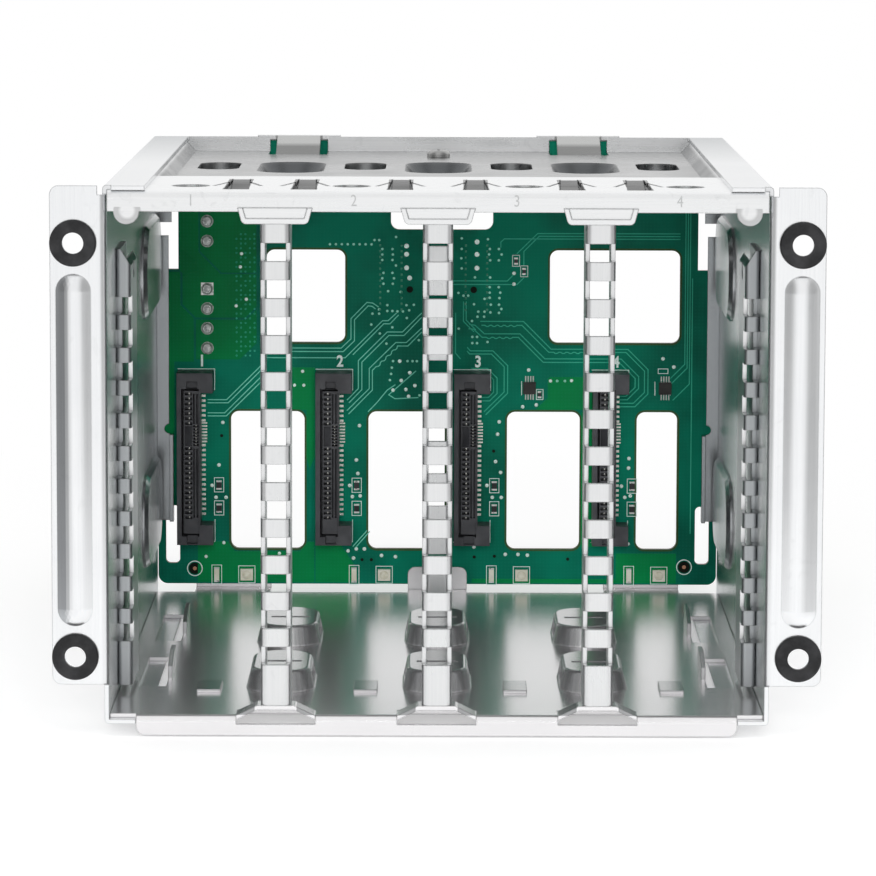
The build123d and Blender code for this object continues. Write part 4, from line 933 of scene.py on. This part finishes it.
paper_seen = shade(paper_tree, "ShaderNodeMixShader", paper_fade).outputs[0]
paper_show = {0: looking(paper_tree), 1: paper_matt, 2: paper_seen}
paper_mix = shade(paper_tree, "ShaderNodeMixShader", paper_show).outputs[0]
shade(paper_tree, "ShaderNodeOutputMaterial", {0: paper_mix})
ground_mesh.materials.append(paper)

surround = bpy.data.worlds.new("surround")
bpy.context.scene.world = surround
surround.use_nodes = True
sky = surround.node_tree
sky.nodes.clear()
sky_side, sky_depth, _ = axes(shade(sky, "ShaderNodeTexCoord").outputs["Generated"])
sky_front = reckon("SUBTRACT", spread(sky_depth, -0.35, 0.25, 0.92, 1.0), cards(sky_side, sky_depth))
sky_seen = reckon("MAXIMUM", sky_front, shade(sky, "ShaderNodeLightPath").outputs["Is Camera Ray"])
room_light = 0.55
sky_level = reckon("MULTIPLY_ADD", looking(sky), reckon("SUBTRACT", sky_seen, room_light), room_light)
sky_light = shade(sky, "ShaderNodeBackground", {"Color": (1, 1, 1, 1), "Strength": sky_level}).outputs[0]
shade(sky, "ShaderNodeOutputWorld", {0: sky_light})


def soft_lamp(name, place, aim, size, power):
    """Square area lamp at a place, turned to its aim, that metal doesn't mirror."""
    lamp = bpy.data.lights.new(name, "AREA")
    lamp.shape, lamp.size, lamp.energy = "SQUARE", size, power
    holder = bpy.data.objects.new(name, lamp)
    bpy.context.scene.collection.objects.link(holder)
    holder.location, holder.visible_glossy = place, False
    way = np.asarray(aim, float) - np.asarray(place, float)
    flat_way = math.hypot(way[0], way[1])
    holder.rotation_euler = (math.atan2(flat_way, -way[2]), 0, math.atan2(way[1], way[0]) - math.pi / 2)


soft_lamp("over_lamp", (0.1, -0.3, 1.3), (0, 0.08, 0), 1.4, 5.6)
soft_lamp("left_lamp", (-1.1, -1.2, 0.7), (0, 0.08, 0), 0.9, 3.5)
soft_lamp("right_lamp", (1.3, -1.0, 0.5), (0, 0.08, 0), 0.9, 2.5)
soft_lamp("front_lamp", (0.0, -1.7, 0.3), (0, 0.18, 0), 0.7, 20.0)

# Camera. Level with the upper half of the cage, about a metre off, turned a little down, with a
# long lens.
pitch, turn, roll = 0.12392, 0.00026, 0.00312
ahead = np.array((-math.sin(turn) * math.cos(pitch), math.cos(turn) * math.cos(pitch), -math.sin(pitch)))
level_right = np.array((math.cos(turn), math.sin(turn), 0.0))
level_up = np.cross(level_right, ahead)
view_right = level_right * math.cos(roll) + level_up * math.sin(roll)
view_up = level_up * math.cos(roll) - level_right * math.sin(roll)
camera = bpy.data.cameras.new("camera")
camera.lens, camera.sensor_width = 192.66, 36.0
camera.clip_start, camera.clip_end = 0.05, 60.0
viewer = bpy.data.objects.new("camera", camera)
bpy.context.scene.collection.objects.link(viewer)
pose = np.eye(4)
pose[:3, 0], pose[:3, 1], pose[:3, 2] = view_right, view_up, -ahead
pose[:3, 3] = (0.0003925, -1.015319, 0.129547)
viewer.matrix_world = Matrix(pose.tolist())
bpy.context.scene.camera = viewer
bpy.context.scene.view_settings.view_transform = "Standard"
